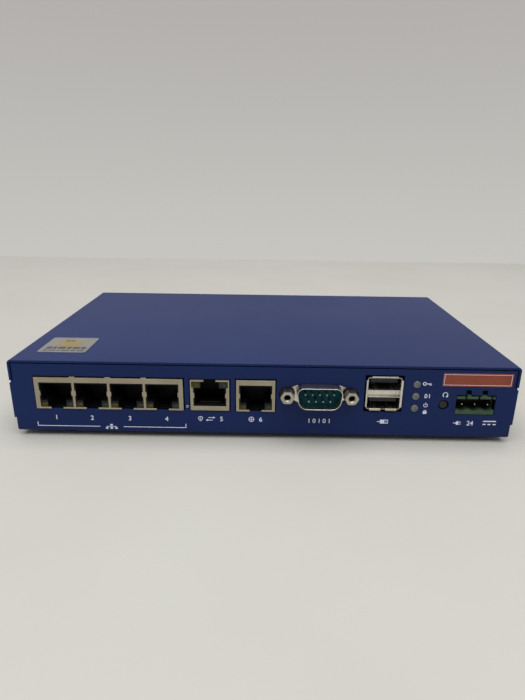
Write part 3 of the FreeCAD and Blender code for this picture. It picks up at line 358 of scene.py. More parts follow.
# Status lamps: milky epoxy, unlit, with a duller core where the dome faces the front
statusEpoxy, tree, shader, place, tone = newFinish(
    "statusEpoxy", {"Coat Weight": 0.5, "Coat Roughness": 0.12},
    ("#656b6b", "#5d6363"), 1.5, (0.25, 0.36), 0.4, 0.006)
facing = addNode(tree, "VectorMath", {"operation": "DOT_PRODUCT", 1: (0.17, -0.98, -0.09)},
                 {0: addNode(tree, "NewGeometry").outputs["Normal"]})
core = addNode(tree, "MapRange", {1: 0.972, 2: 0.995, 3: 0.0, 4: 0.8}, {0: facing.outputs["Value"]})
cored = addNode(tree, "Mix", {"data_type": "RGBA", 7: linear("#47473c")}, {0: core, 6: tone})
tree.links.new(cored.outputs[2], shader.inputs["Base Color"])

# Screen-printed ink: opaque, very pale lavender white, slightly uneven
panelInk = plainFinish("paleInk", sheen(0.3), ("#eceefe", "#dfe2f6"), 0.8, (0.50, 0.65), 0.2, 0.01)

# Brick-red vinyl film, satin
redVinyl = plainFinish("redVinyl", sheen(0.45), ("#92432e", "#883d29"), 9, (0.34, 0.44), 0.6, 0.006)

# Silvered polyester film with a faint rainbow drift and a warm patch
foil = {"tones": ("#a2a19a", "#91998f"), "blush": "#a18ba3", "patch": 5}
silverFoil, tree, shader, place, tone = newFinish(
    "silverFoil", {"Metallic": 0.55}, foil["tones"], foil["patch"], (0.30, 0.44), 0.4, 0.006)
blushNoise = addNode(tree, "TexNoise", {"Scale": perMetre(3.2), "Detail": 1.0}, {"Vector": place})
blushRange = addNode(tree, "MapRange", {1: 0.45, 2: 0.7, 3: 0.0, 4: 0.55}, {0: blushNoise})
blushed = addNode(tree, "Mix", {"data_type": "RGBA", 7: linear(foil["blush"])}, {0: blushRange, 6: tone})
low, high = nodeBox("top_label")
glowCentre = Vector(((low.x + high.x) / 2, low.y + 11.6, high.z)) * mm
glowReach = addNode(tree, "VectorMath", {"operation": "DISTANCE", 1: glowCentre}, {0: place})
glow = addNode(tree, "MapRange", {1: 2.0 * mm, 2: 7.2 * mm, 3: 0.85, 4: 0.0}, {0: glowReach.outputs["Value"]})
warmed = addNode(tree, "Mix", {"data_type": "RGBA", 7: linear("#b6983c")}, {0: glow, 6: blushed.outputs[2]})
tree.links.new(warmed.outputs[2], shader.inputs["Base Color"])

# Grey ink on the foil, and the matt white film under the case
greyInk = plainFinish("greyInk", sheen(0.3), ("#5b5c56", "#4b4c48"), 1.0, (0.5, 0.65), 0.2, 0.006)
whiteFilm = plainFinish("whitePolyesterFilm", sheen(0.4), ("#dcdcd8", "#d0d0cb"), 12, (0.42, 0.55), 0.5, 0.006)

# Moulded rubber feet: dark and dull
footRubber = plainFinish("footRubber", sheen(0.3), ("#26262a", "#1c1c1f"), 3, (0.72, 0.88), 0.4, 0.03)

# Inside the case: solder mask, resin, anodised aluminium, gel, film sleeves, ferrite, plated cans, ceramics
solderMask = plainFinish("greenSolderMask", sheen(0.5), ("#173f2a", "#133524"), 10, (0.30, 0.44), 0.45, 0.012)
chipResin = plainFinish("chipResin", sheen(0.4), ("#1b1c1e", "#151618"), 3, (0.50, 0.66), 0.15, 0.015)
blackAnodised = plainFinish("blackAnodisedAluminium", {"Metallic": 0.6}, ("#303236", "#26282b"), 8,
                            (0.36, 0.50), 0.3, 0.01)
thermalGel = plainFinish("thermalPadGel", sheen(0.4), ("#8d97a6", "#7f8998"), 4, (0.55, 0.7), 0.5, 0.03)
canSleeve = plainFinish("capacitorSleeve", sheen(0.5), ("#1d2438", "#171d2e"), 5, (0.30, 0.42), 0.6, 0.01)
ferrite = plainFinish("inductorFerrite", sheen(0.35), ("#3a3a3c", "#2d2d2f"), 2, (0.6, 0.78), 0.3, 0.03)
crystalCan = plainFinish("crystalCan", metal, ("#d0cfca", "#bdbcb6"), 3, (0.22, 0.34), 0.3, 0.006)
fuseCeramic = plainFinish("fuseCeramic", sheen(0.5), ("#d8d3c6", "#c8c2b2"), 2, (0.35, 0.5), 0.3, 0.02)
chipCeramic = plainFinish("capacitorCeramic", sheen(0.5), ("#a68a6a", "#927656"), 1, (0.35, 0.5), 0.2, 0.01)
print("finishes made")

# Case: tray and cover, with every sheet edge broken by its coat
case = {"edge": 0.22, "trayEdge": 0.12, "least": 12, "sheet": 1.1, "panelTop": 31.3, "drop": 0.2,
        "cutCorner": (8.66, 4.58), "cutDraw": 1.9, "slots": 3.2, "slotHalf": 0.9, "slotWider": 0.12}
low, high = nodeBox("power_header")
headerX, headerTop = (low.x + high.x) / 2, high.z
serialMiddle = sum(nodeBox("serial_shell"), Vector()) / 2
panelFront = nodeBox("base_chassis")[0].y
tray = mergedCopy("base_chassis")
for corner in [corner for corner in tray.verts if corner.co.y < panelFront + case["sheet"]]:
    across, rise = corner.co.x - serialMiddle.x, corner.co.z - serialMiddle.z
    if abs(corner.co.z - case["panelTop"]) < 0.02:
        corner.co.z -= case["drop"]
    if abs(abs(across) - case["cutCorner"][0]) < 0.03 and abs(rise - case["cutCorner"][1]) < 0.03:
        corner.co.x -= math.copysign(case["cutDraw"], across)
    slotSide = abs(corner.co.x - headerX) - case["slots"]
    if abs(abs(slotSide) - case["slotHalf"]) < 0.02 and corner.co.z > headerTop:
        corner.co.x += math.copysign(case["slotWider"], (corner.co.x - headerX) * slotSide)
softenedCopy("caseTray", "base_chassis", powderCoat, case["trayEdge"], case["least"], tray)
softenedCopy("caseCover", "top_cover", powderCoat, case["edge"], case["least"])

# Countersunk cover screws with a cross recess, two on each side
screw = {"radius": 2.5, "shank": 1.5, "length": 6.0, "arm": 1.35, "arms": 0.32, "recess": 0.9, "taper": 0.6,
         "crown": 0.12, "sunk": 0.02, "turned": 23}


def addCrossHead(bm, place):
    # drawn with its head at z = 0, facing up
    known = set(bm.verts)
    a, w = screw["arm"], screw["arms"]
    corners = [(a, -w), (a, w), (w, w), (w, a), (-w, a), (-w, w),
               (-a, w), (-a, -w), (-w, -w), (-w, -a), (w, -a), (w, -w)]
    points = [bm.verts.new((x, y, 0)) for x, y in corners]
    cross = [bm.edges.new(pair) for pair in zip(points, points[1:] + points[:1])]
    sink = Vector((0, 0, -screw["recess"]))
    floor = growLoop(bm, cross, sink, screw["taper"], sink)
    bmesh.ops.edgeloop_fill(bm, edges=floor)
    rim = bmesh.ops.create_circle(bm, segments=24, radius=screw["radius"],
                                  matrix=Matrix.Translation((0, 0, -screw["crown"])))["verts"]
    outer = list({edge for point in rim for edge in point.link_edges})
    bmesh.ops.bridge_loops(bm, edges=cross + outer)
    drop = screw["radius"] - screw["shank"]
    neckCentre = Vector((0, 0, -screw["crown"] - drop))
    neck = growLoop(bm, outer, (0, 0, -drop), screw["shank"] / screw["radius"], neckCentre)
    tip = growLoop(bm, neck, (0, 0, screw["crown"] + drop - screw["length"]))
    bmesh.ops.edgeloop_fill(bm, edges=tip)
    bmesh.ops.transform(bm, matrix=place, verts=fresh(bm.verts, known))


low, high = nodeBox("cover_screws")
bm = bmesh.new()
for side in (-1, 1):
    turn = turned(side * 90, "Y") @ turned(screw["turned"], "Z")
    for y in (low.y + screw["radius"], high.y - screw["radius"]):
        spot = Matrix.Translation((side * (high.x - screw["sunk"]), y, (low.z + high.z) / 2))
        addCrossHead(bm, spot @ turn)
newPiece("coverScrews", bm, [blackZinc], ["cover_screws"])

# Stick-on feet: a domed edge and a shallow dish underneath
low, high = nodeBox("rubber_feet")
foot = {"radius": 6.0, "profile": (
    (0, 0.35), (3.8, 0.35), (4.3, 0.12), (4.55, 0), (5.45, 0), (5.8, 0.12), (6.0, 0.5), (5.95, 1.2),
    (5.85, high.z), (0, high.z))}
bm = bmesh.new()
for x in (low.x + foot["radius"], high.x - foot["radius"]):
    for y in (low.y + foot["radius"], high.y - foot["radius"]):
        addTurned(bm, foot["profile"], (x, y, 0), up, 48)
newPiece("rubberFeet", bm, [footRubber], ["rubber_feet"])
print("case made")

# Network jacks: plated shields, black bodies, sprung wires and lamp windows
jack = {"pitch": 14.0, "wires": 8, "wirePitch": 1.02, "wire": 0.45, "gauge": 0.28, "sheet": 0.3,
        "height": 13.5, "windowTop": 10.9, "windowFoot": 0.8, "clear": 0.2, "wider": 0.18, "edge": 0.09,
        "widerTop": 0.25, "widerFoot": 0.1, "side": 6.325, "gap": 2.35, "notch": 3.0, "lampFoot": 3.3,
        "lampWider": 0.85, "spring": 0.4, "springs": (18.0, 20.0), "least": 0.05, "soft": 0.05, "bend": 0.12,
        "knee": ((0.35, 0), (0.55, -0.45)), "tip": ((6.95, 0.62), (7.45, 0.72))}


def slimFrame(node, ports):
    # draws the shield in a little from its cut-out and opens the windows in its front sheet
    bm = mergedCopy(node)
    low, high = nodeBox(node)
    centre, windows = (low.x + high.x) / 2, portMiddles(node, ports)
    for corner in bm.verts:
        x, y, rise = corner.co.x, corner.co.y, corner.co.z - low.z
        if abs(x - centre) > (high.x - low.x) / 2 - jack["sheet"] - jack["least"]:
            corner.co.x -= math.copysign(jack["clear"], x - centre)
        if rise > jack["height"] - jack["sheet"] - jack["least"]:
            corner.co.z -= jack["clear"]
        if y < low.y + jack["sheet"] + jack["least"]:
            corner.co.z += jack["widerTop"] if abs(rise - jack["windowTop"]) < jack["least"] else 0
            corner.co.z -= jack["widerFoot"] if abs(rise - jack["windowFoot"]) < jack["least"] else 0
            for window in windows:
                if 5.8 < abs(x - window) < 6.4:  # the sides of a window and its springs
                    corner.co.x += math.copysign(jack["wider"], x - window)
    return bm


def latchUpShield(node):
    # the same shield turned over: its front sheet is open at the latch and wider beside the lamps
    low, high = nodeBox(node)
    middle, sheet = (low.x + high.x) / 2, jack["sheet"]
    reach, half = (high.x - low.x) / 2 - jack["clear"], jack["side"] + jack["wider"]
    wide, gap, spring = jack["side"] + jack["lampWider"], jack["gap"], half - jack["spring"]
    base, sill = low.z + jack["clear"], high.z - jack["windowTop"] - jack["widerTop"]
    head, level = high.z - jack["windowFoot"] + jack["widerFoot"], high.z - jack["lampFoot"]
    under, over = jack["springs"]
    outer = [(gap, high.z), (reach, high.z), (reach, base)]
    inner = [(half, sill), (half, under), (spring, under), (spring, over), (half, over), (half, level),
             (wide, level), (wide, head), (gap, head)]
    boundary = outer + [(-x, z) for x, z in reversed(outer)] + [(-x, z) for x, z in reversed(inner)] + inner
    bm = bmesh.new()
    addPlate(bm, [(middle + x, low.y + sheet, z) for x, z in boundary], (0, -sheet, 0))
    roundOff(bm, bm.edges[:], jack["edge"])
    front, rear, roof = low.y + sheet, high.y, (high.z - sheet, high.z)
    for side in (-1, 1):
        outside, inside = middle + side * reach, middle + side * (reach - sheet)
        addBlock(bm, sorted((outside, inside)), (front, rear), (base, high.z), jack["soft"])
        addBlock(bm, sorted((outside, middle + side * gap)), (front, rear), roof, jack["soft"])
    addBlock(bm, (middle - gap, middle + gap), (front + jack["notch"], rear), roof, jack["soft"])
    addBlock(bm, (middle - reach, middle + reach), (rear - sheet, rear), (base, high.z), jack["soft"])
    return bm


def portMiddles(node, ports):
    low, high = nodeBox(node)
    return [(low.x + high.x) / 2 + (i - (ports - 1) / 2) * jack["pitch"] for i in range(ports)]


for name, ports in (("lan", 4), ("dmz", 1), ("wan", 1)):
    node, turnedOver = name + "_jack_shield", name == "dmz"
    if turnedOver:
        newPiece(name + "JackShield", latchUpShield(node), [tinnedSheet], [node])
    else:
        bm = slimFrame(node, ports)
        softenedCopy(name + "JackShield", node, tinnedSheet, jack["edge"], bm=bm)
    node = name + "_jack_contacts"
    low, high = nodeBox(node)
    top, heel = high.z - jack["gauge"] - 0.02, low.z - jack["gauge"] - 0.02
    path = [(high.y, top)] + [(low.y + along, top + rise) for along, rise in jack["knee"]]
    path += [(low.y + along, heel + rise) for along, rise in jack["tip"]]
    if turnedOver:
        path = [(y, low.z + high.z - z - jack["gauge"]) for y, z in path]
    bm = bmesh.new()
    for middle in portMiddles(node, ports):
        for i in range(jack["wires"]):
            x = middle + (i - (jack["wires"] - 1) / 2) * jack["wirePitch"]
            addRibbon(bm, path, around(x, jack["wire"]), jack["gauge"], jack["bend"])
    # the wires deep in the turned-over socket take the gold darkened with painted shade
    newPiece(name + "JackWires", bm, [dullGold if turnedOver else goldFlash], [node])

# The moulding's thin floor in each latch channel
channel = {"floor": 0.15, "width": 4.5, "front": 1.6, "rear": 0.4, "soft": 0.04}
bm = bmesh.new()
for node, ports in (("lan_jack_housing", 4), ("wan_jack_housing", 1)):
    low, high = nodeBox(node)
    for middle in portMiddles(node, ports):
        addBlock(bm, around(middle, channel["width"]), (low.y + channel["front"], high.y - channel["rear"]),
                 (low.z, low.z + channel["floor"]), channel["soft"])
newPiece("jackFloors", bm, [blackNylon])

# Lamp windows: moulded blocks with a sunk face, and the lamp's die showing as a paler spot
lamp = {"sunk": 0.12, "rim": 0.3, "aside": 0.35, "below": 0.3, "soft": 0.12, "wider": 0.8,
        "proud": 0.14, "die": ((0, -0.1), (0.372, -0.07), (0.62, 0), (0.62, 0.2), (0, 0.2))}
jackLow, jackHigh = nodeBox("dmz_jack_shield")
for colour, tint in portLamps.items():
    bm = mergedCopy("port_leds_" + colour)
    for corner in bm.verts:
        across = corner.co.x - (jackLow.x + jackHigh.x) / 2
        if abs(across) < 7:  # the high lamps stand wider, just ahead of the moulding
            corner.co.x += math.copysign(lamp["wider"], across) if abs(across) > 6 else 0
            corner.co.y -= lamp["proud"] if corner.co.y < jackLow.y + 1 else 0
    fronts = [face for face in bm.faces if face.normal.y < -0.9]
    centres = [face.calc_center_median() for face in fronts]
    bmesh.ops.inset_individual(bm, faces=fronts, thickness=lamp["rim"], depth=-lamp["sunk"])
    roundOff(bm, [edge for edge in bm.edges if edge.calc_face_angle(0) > 1], lamp["soft"])
    for centre in centres:
        centre += Vector((lamp["aside"], lamp["sunk"], -lamp["below"]))
        addTurned(bm, lamp["die"], centre, back, 20, 1)
    newPiece(colour + "PortLamps", bm, [tint["lens"], tint["glow"]], ["port_leds_" + colour])
print("network jacks made")

# Serial connector: a drawn shell with a rolled rim on a flange, teal insulator, nine pins
serial = {"width": 18.4, "height": 9.0, "corner": 3.2, "slope": 8, "wall": 0.32, "root": 0.15,
          "flange": (30.81, 12.5), "flangeCorner": 1.0, "sheet": 0.8, "floor": 0.2, "skin": 0.04,
          "overlap": 0.05, "rows": ((1, 5, 0), (-1, 4, 1.27)), "pitch": 2.77, "row": 1.42, "pin": 0.42,
          "bullet": 1.3, "tail": 0.6, "plate": 1.0}
low, high = nodeBox("serial_shell")
serialX, serialZ = (low.x + high.x) / 2, (low.z + high.z) / 2
flangeBack, flangeFront = high.y, high.y - serial["sheet"]
bm = bmesh.new()


def serialPlate(w, h, slope, rear, thickness, corner, steps=4):
    slant = 2 * h * math.tan(math.radians(slope))
    outline = [(serialX + x, rear, serialZ + z) for x, z in ((slant - w, -h), (w - slant, -h), (w, h), (-w, h))]
    return addPlate(bm, outline, (0, -thickness, 0), corner, steps)


w, h = serial["flange"][0] / 2, serial["flange"][1] / 2
serialPlate(w, h, 0, flangeBack, serial["sheet"], serial["flangeCorner"])
root, wall, length = serial["root"], serial["wall"], flangeFront - low.y
w, h = serial["width"] / 2 + root, serial["height"] / 2 + root
mouth = serialPlate(w, h, serial["slope"], flangeFront + 0.3, 0.3, serial["corner"] + root, 8)
profile = arc(0, root, root, -90, 0) + arc(root + wall / 2, length - wall / 2, wall / 2, 180, 0, 6)
addRim(bm, mouth, profile + [(root + wall + 0.02, serial["floor"])])
newPiece("serialShell", bm, [nickelPlate], ["serial_shell"])
softenedCopy("serialInsulator", "serial_insulator", tealPolyester, 0.12)
bm = bmesh.new()
face = nodeBox("serial_insulator")[0].y - serial["skin"]
w, h = w - root - wall + serial["overlap"], h - root - wall + serial["overlap"]
serialPlate(w, h, serial["slope"], face + serial["plate"], serial["plate"], serial["corner"] - wall, 8)
newPiece("serialInsulatorFace", bm, [tealPolyester])

# Pins with bullet tips, and their tails down to the board
low, high = nodeBox("serial_pins")
bm = bmesh.new()
r, tail = serial["pin"], serial["tail"]
bullet = [(r * math.sin(math.radians(a)), low.y + r * serial["bullet"] * (1 - math.cos(math.radians(a))))
          for a in (0, 25, 50, 75, 90)]
for row, count, shorter in serial["rows"]:
    for i in range(count):
        x, z = serialX + (i - (count - 1) / 2) * serial["pitch"], serialZ + row * serial["row"]
        end = high.y - shorter
        addTurned(bm, bullet + [(r, end), (0, end)], (x, 0, z), back, 20)
        addBlock(bm, around(x, tail), (end - tail, end), (low.z, z), 0.08)
newPiece("serialPins", bm, [paleGold], ["serial_pins"])

# Jackscrews: hexagons with a turned crown and a threaded bore whose deep part is painted black as shade, each on
# a black ring that paints the shade around the post
post = {"flats": 4.9, "crown": 0.2, "crownReach": 2.64, "bore": 1.25, "lead": 0.16, "turns": 8,
        "thread": 0.5, "depth": 0.18, "stud": 1.4, "shadeDepth": 1.3, "shadeWasher": 3.12, "shadeWasherSheet": 0.35}


def postRing(bm, ring, move, most=10.0):
    # grows a ring along the post, no wider than the hexagon or the reach given
    ring = growLoop(bm, ring, (0, move, 0))
    for point in {corner for edge in ring for corner in edge.verts}:
        angle = math.atan2(point.co.z, point.co.x)
        reach = min(most, post["flats"] / 2 / math.cos(math.radians(math.degrees(angle) % 60 - 30)))
        point.co.x, point.co.z = reach * math.cos(angle), reach * math.sin(angle)
    return ring


low, high = nodeBox("serial_jackscrews")
bm = bmesh.new()
for x in (low.x + post["flats"] / math.sqrt(3), high.x - post["flats"] / math.sqrt(3)):
    known = set(bm.verts)
    circle = bmesh.ops.create_circle(bm, segments=36, radius=post["stud"], matrix=turned(90, "X"))["verts"]
    start = list({edge for point in circle for edge in point.link_edges})
    ring = postRing(bm, start, 0)
    ring = postRing(bm, ring, low.y + post["crown"] - flangeFront)
    ring = postRing(bm, ring, -post["crown"], post["crownReach"])
    ring = postRing(bm, ring, 0, post["bore"] + post["lead"])
    ring = postRing(bm, ring, post["lead"], post["bore"])
    for turn in range(post["turns"]):
        ring = postRing(bm, ring, post["thread"] / 2, post["bore"] + post["depth"])
        ring = postRing(bm, ring, post["thread"] / 2, post["bore"])
    bmesh.ops.edgeloop_fill(bm, edges=ring)
    stud = postRing(bm, start, high.y - flangeFront, post["stud"])
    bmesh.ops.edgeloop_fill(bm, edges=stud)
    # painted shade: bore faces deeper than shadeDepth take the black finish
    for face in bm.faces:
        middle = face.calc_center_median()
        if not known & set(face.verts) and math.hypot(middle.x, middle.z) < post["bore"] + post["depth"]:
            face.material_index = int(low.y - flangeFront + post["shadeDepth"] < middle.y < 0)
    spot = Matrix.Translation((x, flangeFront, serialZ))
    bmesh.ops.transform(bm, matrix=spot, verts=fresh(bm.verts, known))
    # painted shade: a thin black ring, drawn like a lock washer, darkens the flange around the post
    inner, outer, y = post["stud"] + 0.1, post["shadeWasher"], flangeFront - post["shadeWasherSheet"]
    shadeWasher = [(inner, flangeFront), (inner, y), (outer - 0.1, y), (outer, y + 0.1), (outer, flangeFront)]
    addTurned(bm, shadeWasher + shadeWasher[:1], (x, 0, serialZ), back, 40, 1)
newPiece("serialJackscrews", bm, [dullNickel, blackZinc], ["serial_jackscrews"])
print("serial connector made")

# Stacked USB socket, power header, status lamps and reset button
usb = {"front": -58.8, "foot": 14.2, "top": 27.7, "half": 6.65, "wall": 0.3, "corner": 0.7, "recess": 0.9,
       "sheet": 0.3, "decks": (19.55, 22.35), "lip": 0.22, "lipBend": 0.2, "flare": 0.78, "topLip": 10.2,
       "footLips": (-3.15, 3.15), "footLip": 4.4, "footFlare": 0.95, "footSheet": 0.1, "sideLip": 11.4,
       "fingers": (-3.1, 3.1), "finger": 1.7, "fingerSheet": 0.2, "fingerBend": 0.4,
       "fingerLine": ((-57.6, 0.02), (-56.9, 0.1), (-54.4, 1.1), (-52.4, 0.3)),
       "contacts": (-3.5, -1.0, 1.0, 3.5), "contact": 1.0, "contactRows": (17.06, 25.06), "contactSheet": 0.15}
low, high = nodeBox("usb_shell")
usbX, bottom, top = (low.x + high.x) / 2, usb["foot"] + usb["wall"], usb["top"] - usb["wall"]
front, rear, wide, wall = usb["front"], high.y, usb["half"], usb["wall"]
bm = bmesh.new()
outline = [(x, rear, z) for x, z in rectangle(usbX - wide, usb["foot"], usbX + wide, usb["top"])]
mouth = addPlate(bm, outline, (0, front - rear + wall / 2, 0), usb["corner"], 5)
addRim(bm, mouth, arc(wall / 2, 0, wall / 2, 180, 0) + [(wall + 0.01, front - rear + 0.8)])
between = around(usbX, 2 * (wide - wall + 0.05))
for deck in usb["decks"]:
    addBlock(bm, between, (front, rear - 0.5), around(deck, usb["sheet"]), 0.08)
addBlock(bm, between, (front + usb["recess"], rear - 0.6), usb["decks"], 0.05)


def addLip(level, way, x, sheet, finish=0, turn=None):
    # a sprung lip that starts on a wall's inside and flares outwards
    flare = ((front + 0.8, 0), (front, 0), (low.y + 0.2, way * usb["flare"]))
    addRibbon(bm, [(y, level + rise) for y, rise in flare], x, sheet, usb["lipBend"], finish, turn)


addLip(top, 1, around(usbX, usb["topLip"]), usb["lip"])
for offset in usb["footLips"]:
    addLip(bottom, -usb["footFlare"], around(usbX + offset, usb["footLip"]), usb["footSheet"], 1)
middle = Matrix.Translation((usbX, 0, (bottom + top) / 2))
for side in (-90, 90):
    addLip(wide - wall, 1, around(0, usb["sideLip"]), usb["lip"], 0, middle @ turned(side, "Y"))
for floor in (bottom, usb["decks"][1] + usb["sheet"] / 2):
    path = [(y, floor + rise) for y, rise in usb["fingerLine"]]
    for offset in usb["fingers"]:
        addRibbon(bm, path, around(usbX + offset, usb["finger"]), usb["fingerSheet"], usb["fingerBend"])
newPiece("usbShell", bm, [nickelPlate, tinnedSheet], ["usb_shell"])
softenedCopy("usbTongues", "usb_tongues", tongueNylon, 0.12)
low, high = nodeBox("usb_contacts")
bm = bmesh.new()
for z in usb["contactRows"]:
    path = [(high.y, z - 0.02), (low.y + 1.6, z - 0.02), (low.y + 1.0, z + 0.12)]
    for offset in usb["contacts"]:
        addRibbon(bm, path, around(usbX + offset, usb["contact"]), usb["contactSheet"], usb["contactSheet"])
# the contacts take the gold darkened with painted shade
newPiece("usbContacts", bm, [dullGold], ["usb_contacts"])

# Power header: its ledge lowered, two keys raised under the panel's notches, its pins slimmer at the tip
header = {"ledgeDrop": 0.5, "keys": ((-3.5, -2.0), (2.1, 4.3)), "keyDepth": 8.0, "keyHeight": 1.2, "pin": 1.0,
          "pins": 3, "slim": 0.72, "edge": 0.13, "pinEdge": 0.2}
low, high = nodeBox("power_header")
bm = mergedCopy("power_header")
for corner in bm.verts:
    corner.co.z -= header["ledgeDrop"] if corner.co.z > high.z - 0.05 else 0
for start, end in header["keys"]:
    addBlock(bm, (headerX + start, headerX + end), (low.y + 0.03, low.y + header["keyDepth"]),
             (high.z - header["keyHeight"], high.z))
softenedCopy("powerHeader", "power_header", greenPolyamide, header["edge"], bm=bm)
low, high = nodeBox("power_pins")
bm = mergedCopy("power_pins")
ends = [corner for corner in bm.verts if corner.co.y < low.y + 0.5]
pinPitch = (high.x - low.x - header["pin"]) / (header["pins"] - 1)
for i in range(header["pins"]):
    x, z = low.x + header["pin"] / 2 + i * pinPitch, high.z - header["pin"] / 2
    for corner in ends:
        if abs(corner.co.x - x) < header["pin"]:
            corner.co.x = x + (corner.co.x - x) * header["slim"]
            corner.co.z = z + (corner.co.z - z) * header["slim"]
softenedCopy("powerPins", "power_pins", dullNickel, header["pinEdge"], bm=bm)

# Status lamps: 3 mm epoxy domes, dull inside
low, high = nodeBox("status_leds")
lens = {"radius": 1.5, "dome": 0.5, "rings": (0, 0.2, 0.4, 0.6, 0.75, 0.88, 0.96), "count": 3}
r, lampX = lens["radius"], (low.x + high.x) / 2
dome = [(r * s, low.y + lens["dome"] * (1 - math.sqrt(1 - s * s))) for s in lens["rings"]]
bm = bmesh.new()
for i in range(lens["count"]):
    z = low.z + r + i * (high.z - low.z - 2 * r) / (lens["count"] - 1)
    addTurned(bm, dome + [(r, low.y + lens["dome"] + 0.02), (r, high.y), (0, high.y)], (lampX, 0, z), back)
newPiece("statusLenses", bm, [statusEpoxy], ["status_leds"])

# Reset button: turned stem with a dished face and its collar inside the switch
low, high = nodeBox("reset_button")
button = {"face": ((0, 0.12), (0.7, 0.09), (1.15, 0.02), (1.35, 0), (1.5, 0.03), (1.63, 0.12), (1.7, 0.3)),
          "collar": ((1.7, -55.85), (2.2, -55.85), (2.2, -54.65), (1.0, -54.65)), "tail": 1.0}
bm = bmesh.new()
stem = [(r, low.y + sunk) for r, sunk in button["face"]]
stem += [*button["collar"], (button["tail"], high.y), (0, high.y)]
addTurned(bm, stem, ((low.x + high.x) / 2, 0, (low.z + high.z) / 2), back, 40)
newPiece("resetButton", bm, [charcoalPlastic], ["reset_button"], body="reset")
print("sockets, lamps and button made")

# Everything printed on the front panel is thin ink in one mesh, drawn flat and then given its thickness
legend = {"ink": 0.03, "bold": 0.035, "face": nodeBox("base_chassis")[0].y}
texts = (("1", -82.93, 8.4, 2.75, 1), ("2", -68.58, 8.4, 2.75, 1), ("3", -53.43, 8.4, 2.75, 1),
         ("4", -38.61, 8.4, 2.75, 1), ("5", -16.6, 8.7, 2.75, 1), ("6", -0.9, 8.8, 2.75, 1),
         ("10101", 22.55, 8.6, 2.7, 1.5), ("01", 64.5, 20.1, 2.5, 1.1), ("24", 82.9, 8.6, 2.7, 1))
shieldLine = ((0, 1.1), (0.9, 0.75), (0.9, 0), (0.55, -0.65), (0, -1.1), (-0.55, -0.65), (-0.9, 0), (-0.9, 0.75))
shieldInner = [(x * 0.7, z * 0.72) for x, z in shieldLine]
shieldBand = list(zip(shieldLine, shieldLine[1:] + shieldLine[:1],
                      shieldInner[1:] + shieldInner[:1], shieldInner))
# each mark is drawn from its own middle: bars from corner to corner, rings with their turn, and free shapes
marks = {
    "ports": {"at": (0, 0), "bars": (
        (-90.94, 4.46, -65.7, 4.74), (-90.94, 4.74, -90.66, 6.3), (-56.2, 4.46, -30.86, 4.74),
        (-31.14, 4.74, -30.86, 6.3))},
    "network": {"at": (-61.1, 4.6), "bars": (
        (-0.55, 0.4, 0.55, 1.1), (-0.12, 0.12, 0.12, 0.4), (-2.0, -0.12, 2.0, 0.12), (-2.0, -0.4, -1.76, -0.12),
        (-2.38, -1.1, -1.38, -0.4), (-0.12, -0.4, 0.12, -0.12), (-0.5, -1.1, 0.5, -0.4),
        (1.76, -0.4, 2.0, -0.12), (1.38, -1.1, 2.38, -0.4))},
    "link": {"at": (-30.6, 13.65), "bars": ((0, 0, 1.0, 0.2), (0, 0.6, 1.0, 0.8))},
    "shield": {"at": (-25.0, 8.7), "bars": ((-0.12, -0.5, 0.12, 0.5),), "shapes": shieldBand},
    "arrows": {"at": (-21.0, 8.7), "bars": ((-1.1, -0.68, 0.9, -0.42), (-0.9, 0.42, 1.1, 0.68)), "shapes": (
        ((-1.9, -0.55), (-1.1, -1.05), (-1.1, -0.05)), ((1.9, 0.55), (1.1, 1.05), (1.1, 0.05)))},
    "globe": {"at": (-4.6, 8.8), "rings": ((0, 0, 1.0, 0.26, 0, 360, 20),), "bars": (
        (-0.87, -0.11, 0.87, 0.11), (-0.11, -0.87, 0.11, -0.11), (-0.11, 0.11, 0.11, 0.87))},
    "plug": {"at": (48.1, 8.7), "bars": (
        (-2.4, -0.15, -1.2, 0.15), (-1.2, -0.85, 0.6, 0.85), (0.6, 0.6, 2.0, 0.85), (0.6, -0.85, 2.0, -0.6),
        (1.75, -0.6, 2.0, 0.6), (1.0, 0.15, 1.4, 0.4), (1.0, -0.4, 1.4, -0.15))},
    "key": {"at": (64.0, 25.3), "rings": ((-1.0, 0, 0.6, 0.32, 0, 360, 20),), "bars": (
        (-0.22, -0.15, 1.7, 0.15), (1.35, -0.75, 1.65, -0.15), (0.7, -0.6, 1.0, -0.15))},
    "power": {"at": (64.3, 16.25), "bars": ((-0.13, 0, 0.13, 1.05),),
              "rings": ((0, -0.1, 0.75, 0.26, 125, 290, 18),)},
    "padlock": {"at": (64.3, 13.4), "bars": ((-0.75, -1.0, 0.75, 0.1),),
                "rings": ((0, 0.1, 0.48, 0.24, 0, 180, 10),)},
    "turn": {"at": (71.6, 20.75), "rings": ((0, 0, 0.95, 0.28, -29, 269, 20),), "shapes": (
        ((0.39, -0.22), (0.42, -1.17), (1.26, -0.72)),)},
    "mains": {"at": (78.0, 8.6), "bars": (
        (-1.9, -0.14, -0.85, 0.14), (-0.85, -0.5, -0.5, 0.5), (-0.5, -0.8, 0.2, 0.8), (0.2, -0.58, 1.3, -0.32),
        (0.2, 0.32, 1.3, 0.58))},
    "direct": {"at": (88.0, 7.95), "bars": (
        (0, 1.35, 5.2, 1.8), (0, 0, 1.25, 0.45), (2.0, 0, 3.25, 0.45), (4.0, 0, 5.25, 0.45))},
}
ink = bmesh.new()


def inkShape(points):
    ink.faces.new([ink.verts.new((x, legend["face"], z)) for x, z in points])


def inkRing(x, z, radius, width, startAngle, sweep, steps):
    centre = Vector((x, legend["face"], z))
    spoke = Vector((math.cos(math.radians(startAngle)), 0, math.sin(math.radians(startAngle))))
    ends = [ink.verts.new(centre + spoke * (radius + offset)) for offset in (-width / 2, width / 2)]
    edge = ink.edges.new(ends)
    bmesh.ops.spin(ink, geom=ends + [edge], cent=centre, axis=-back, angle=math.radians(sweep),
                   steps=steps, use_merge=sweep == 360)


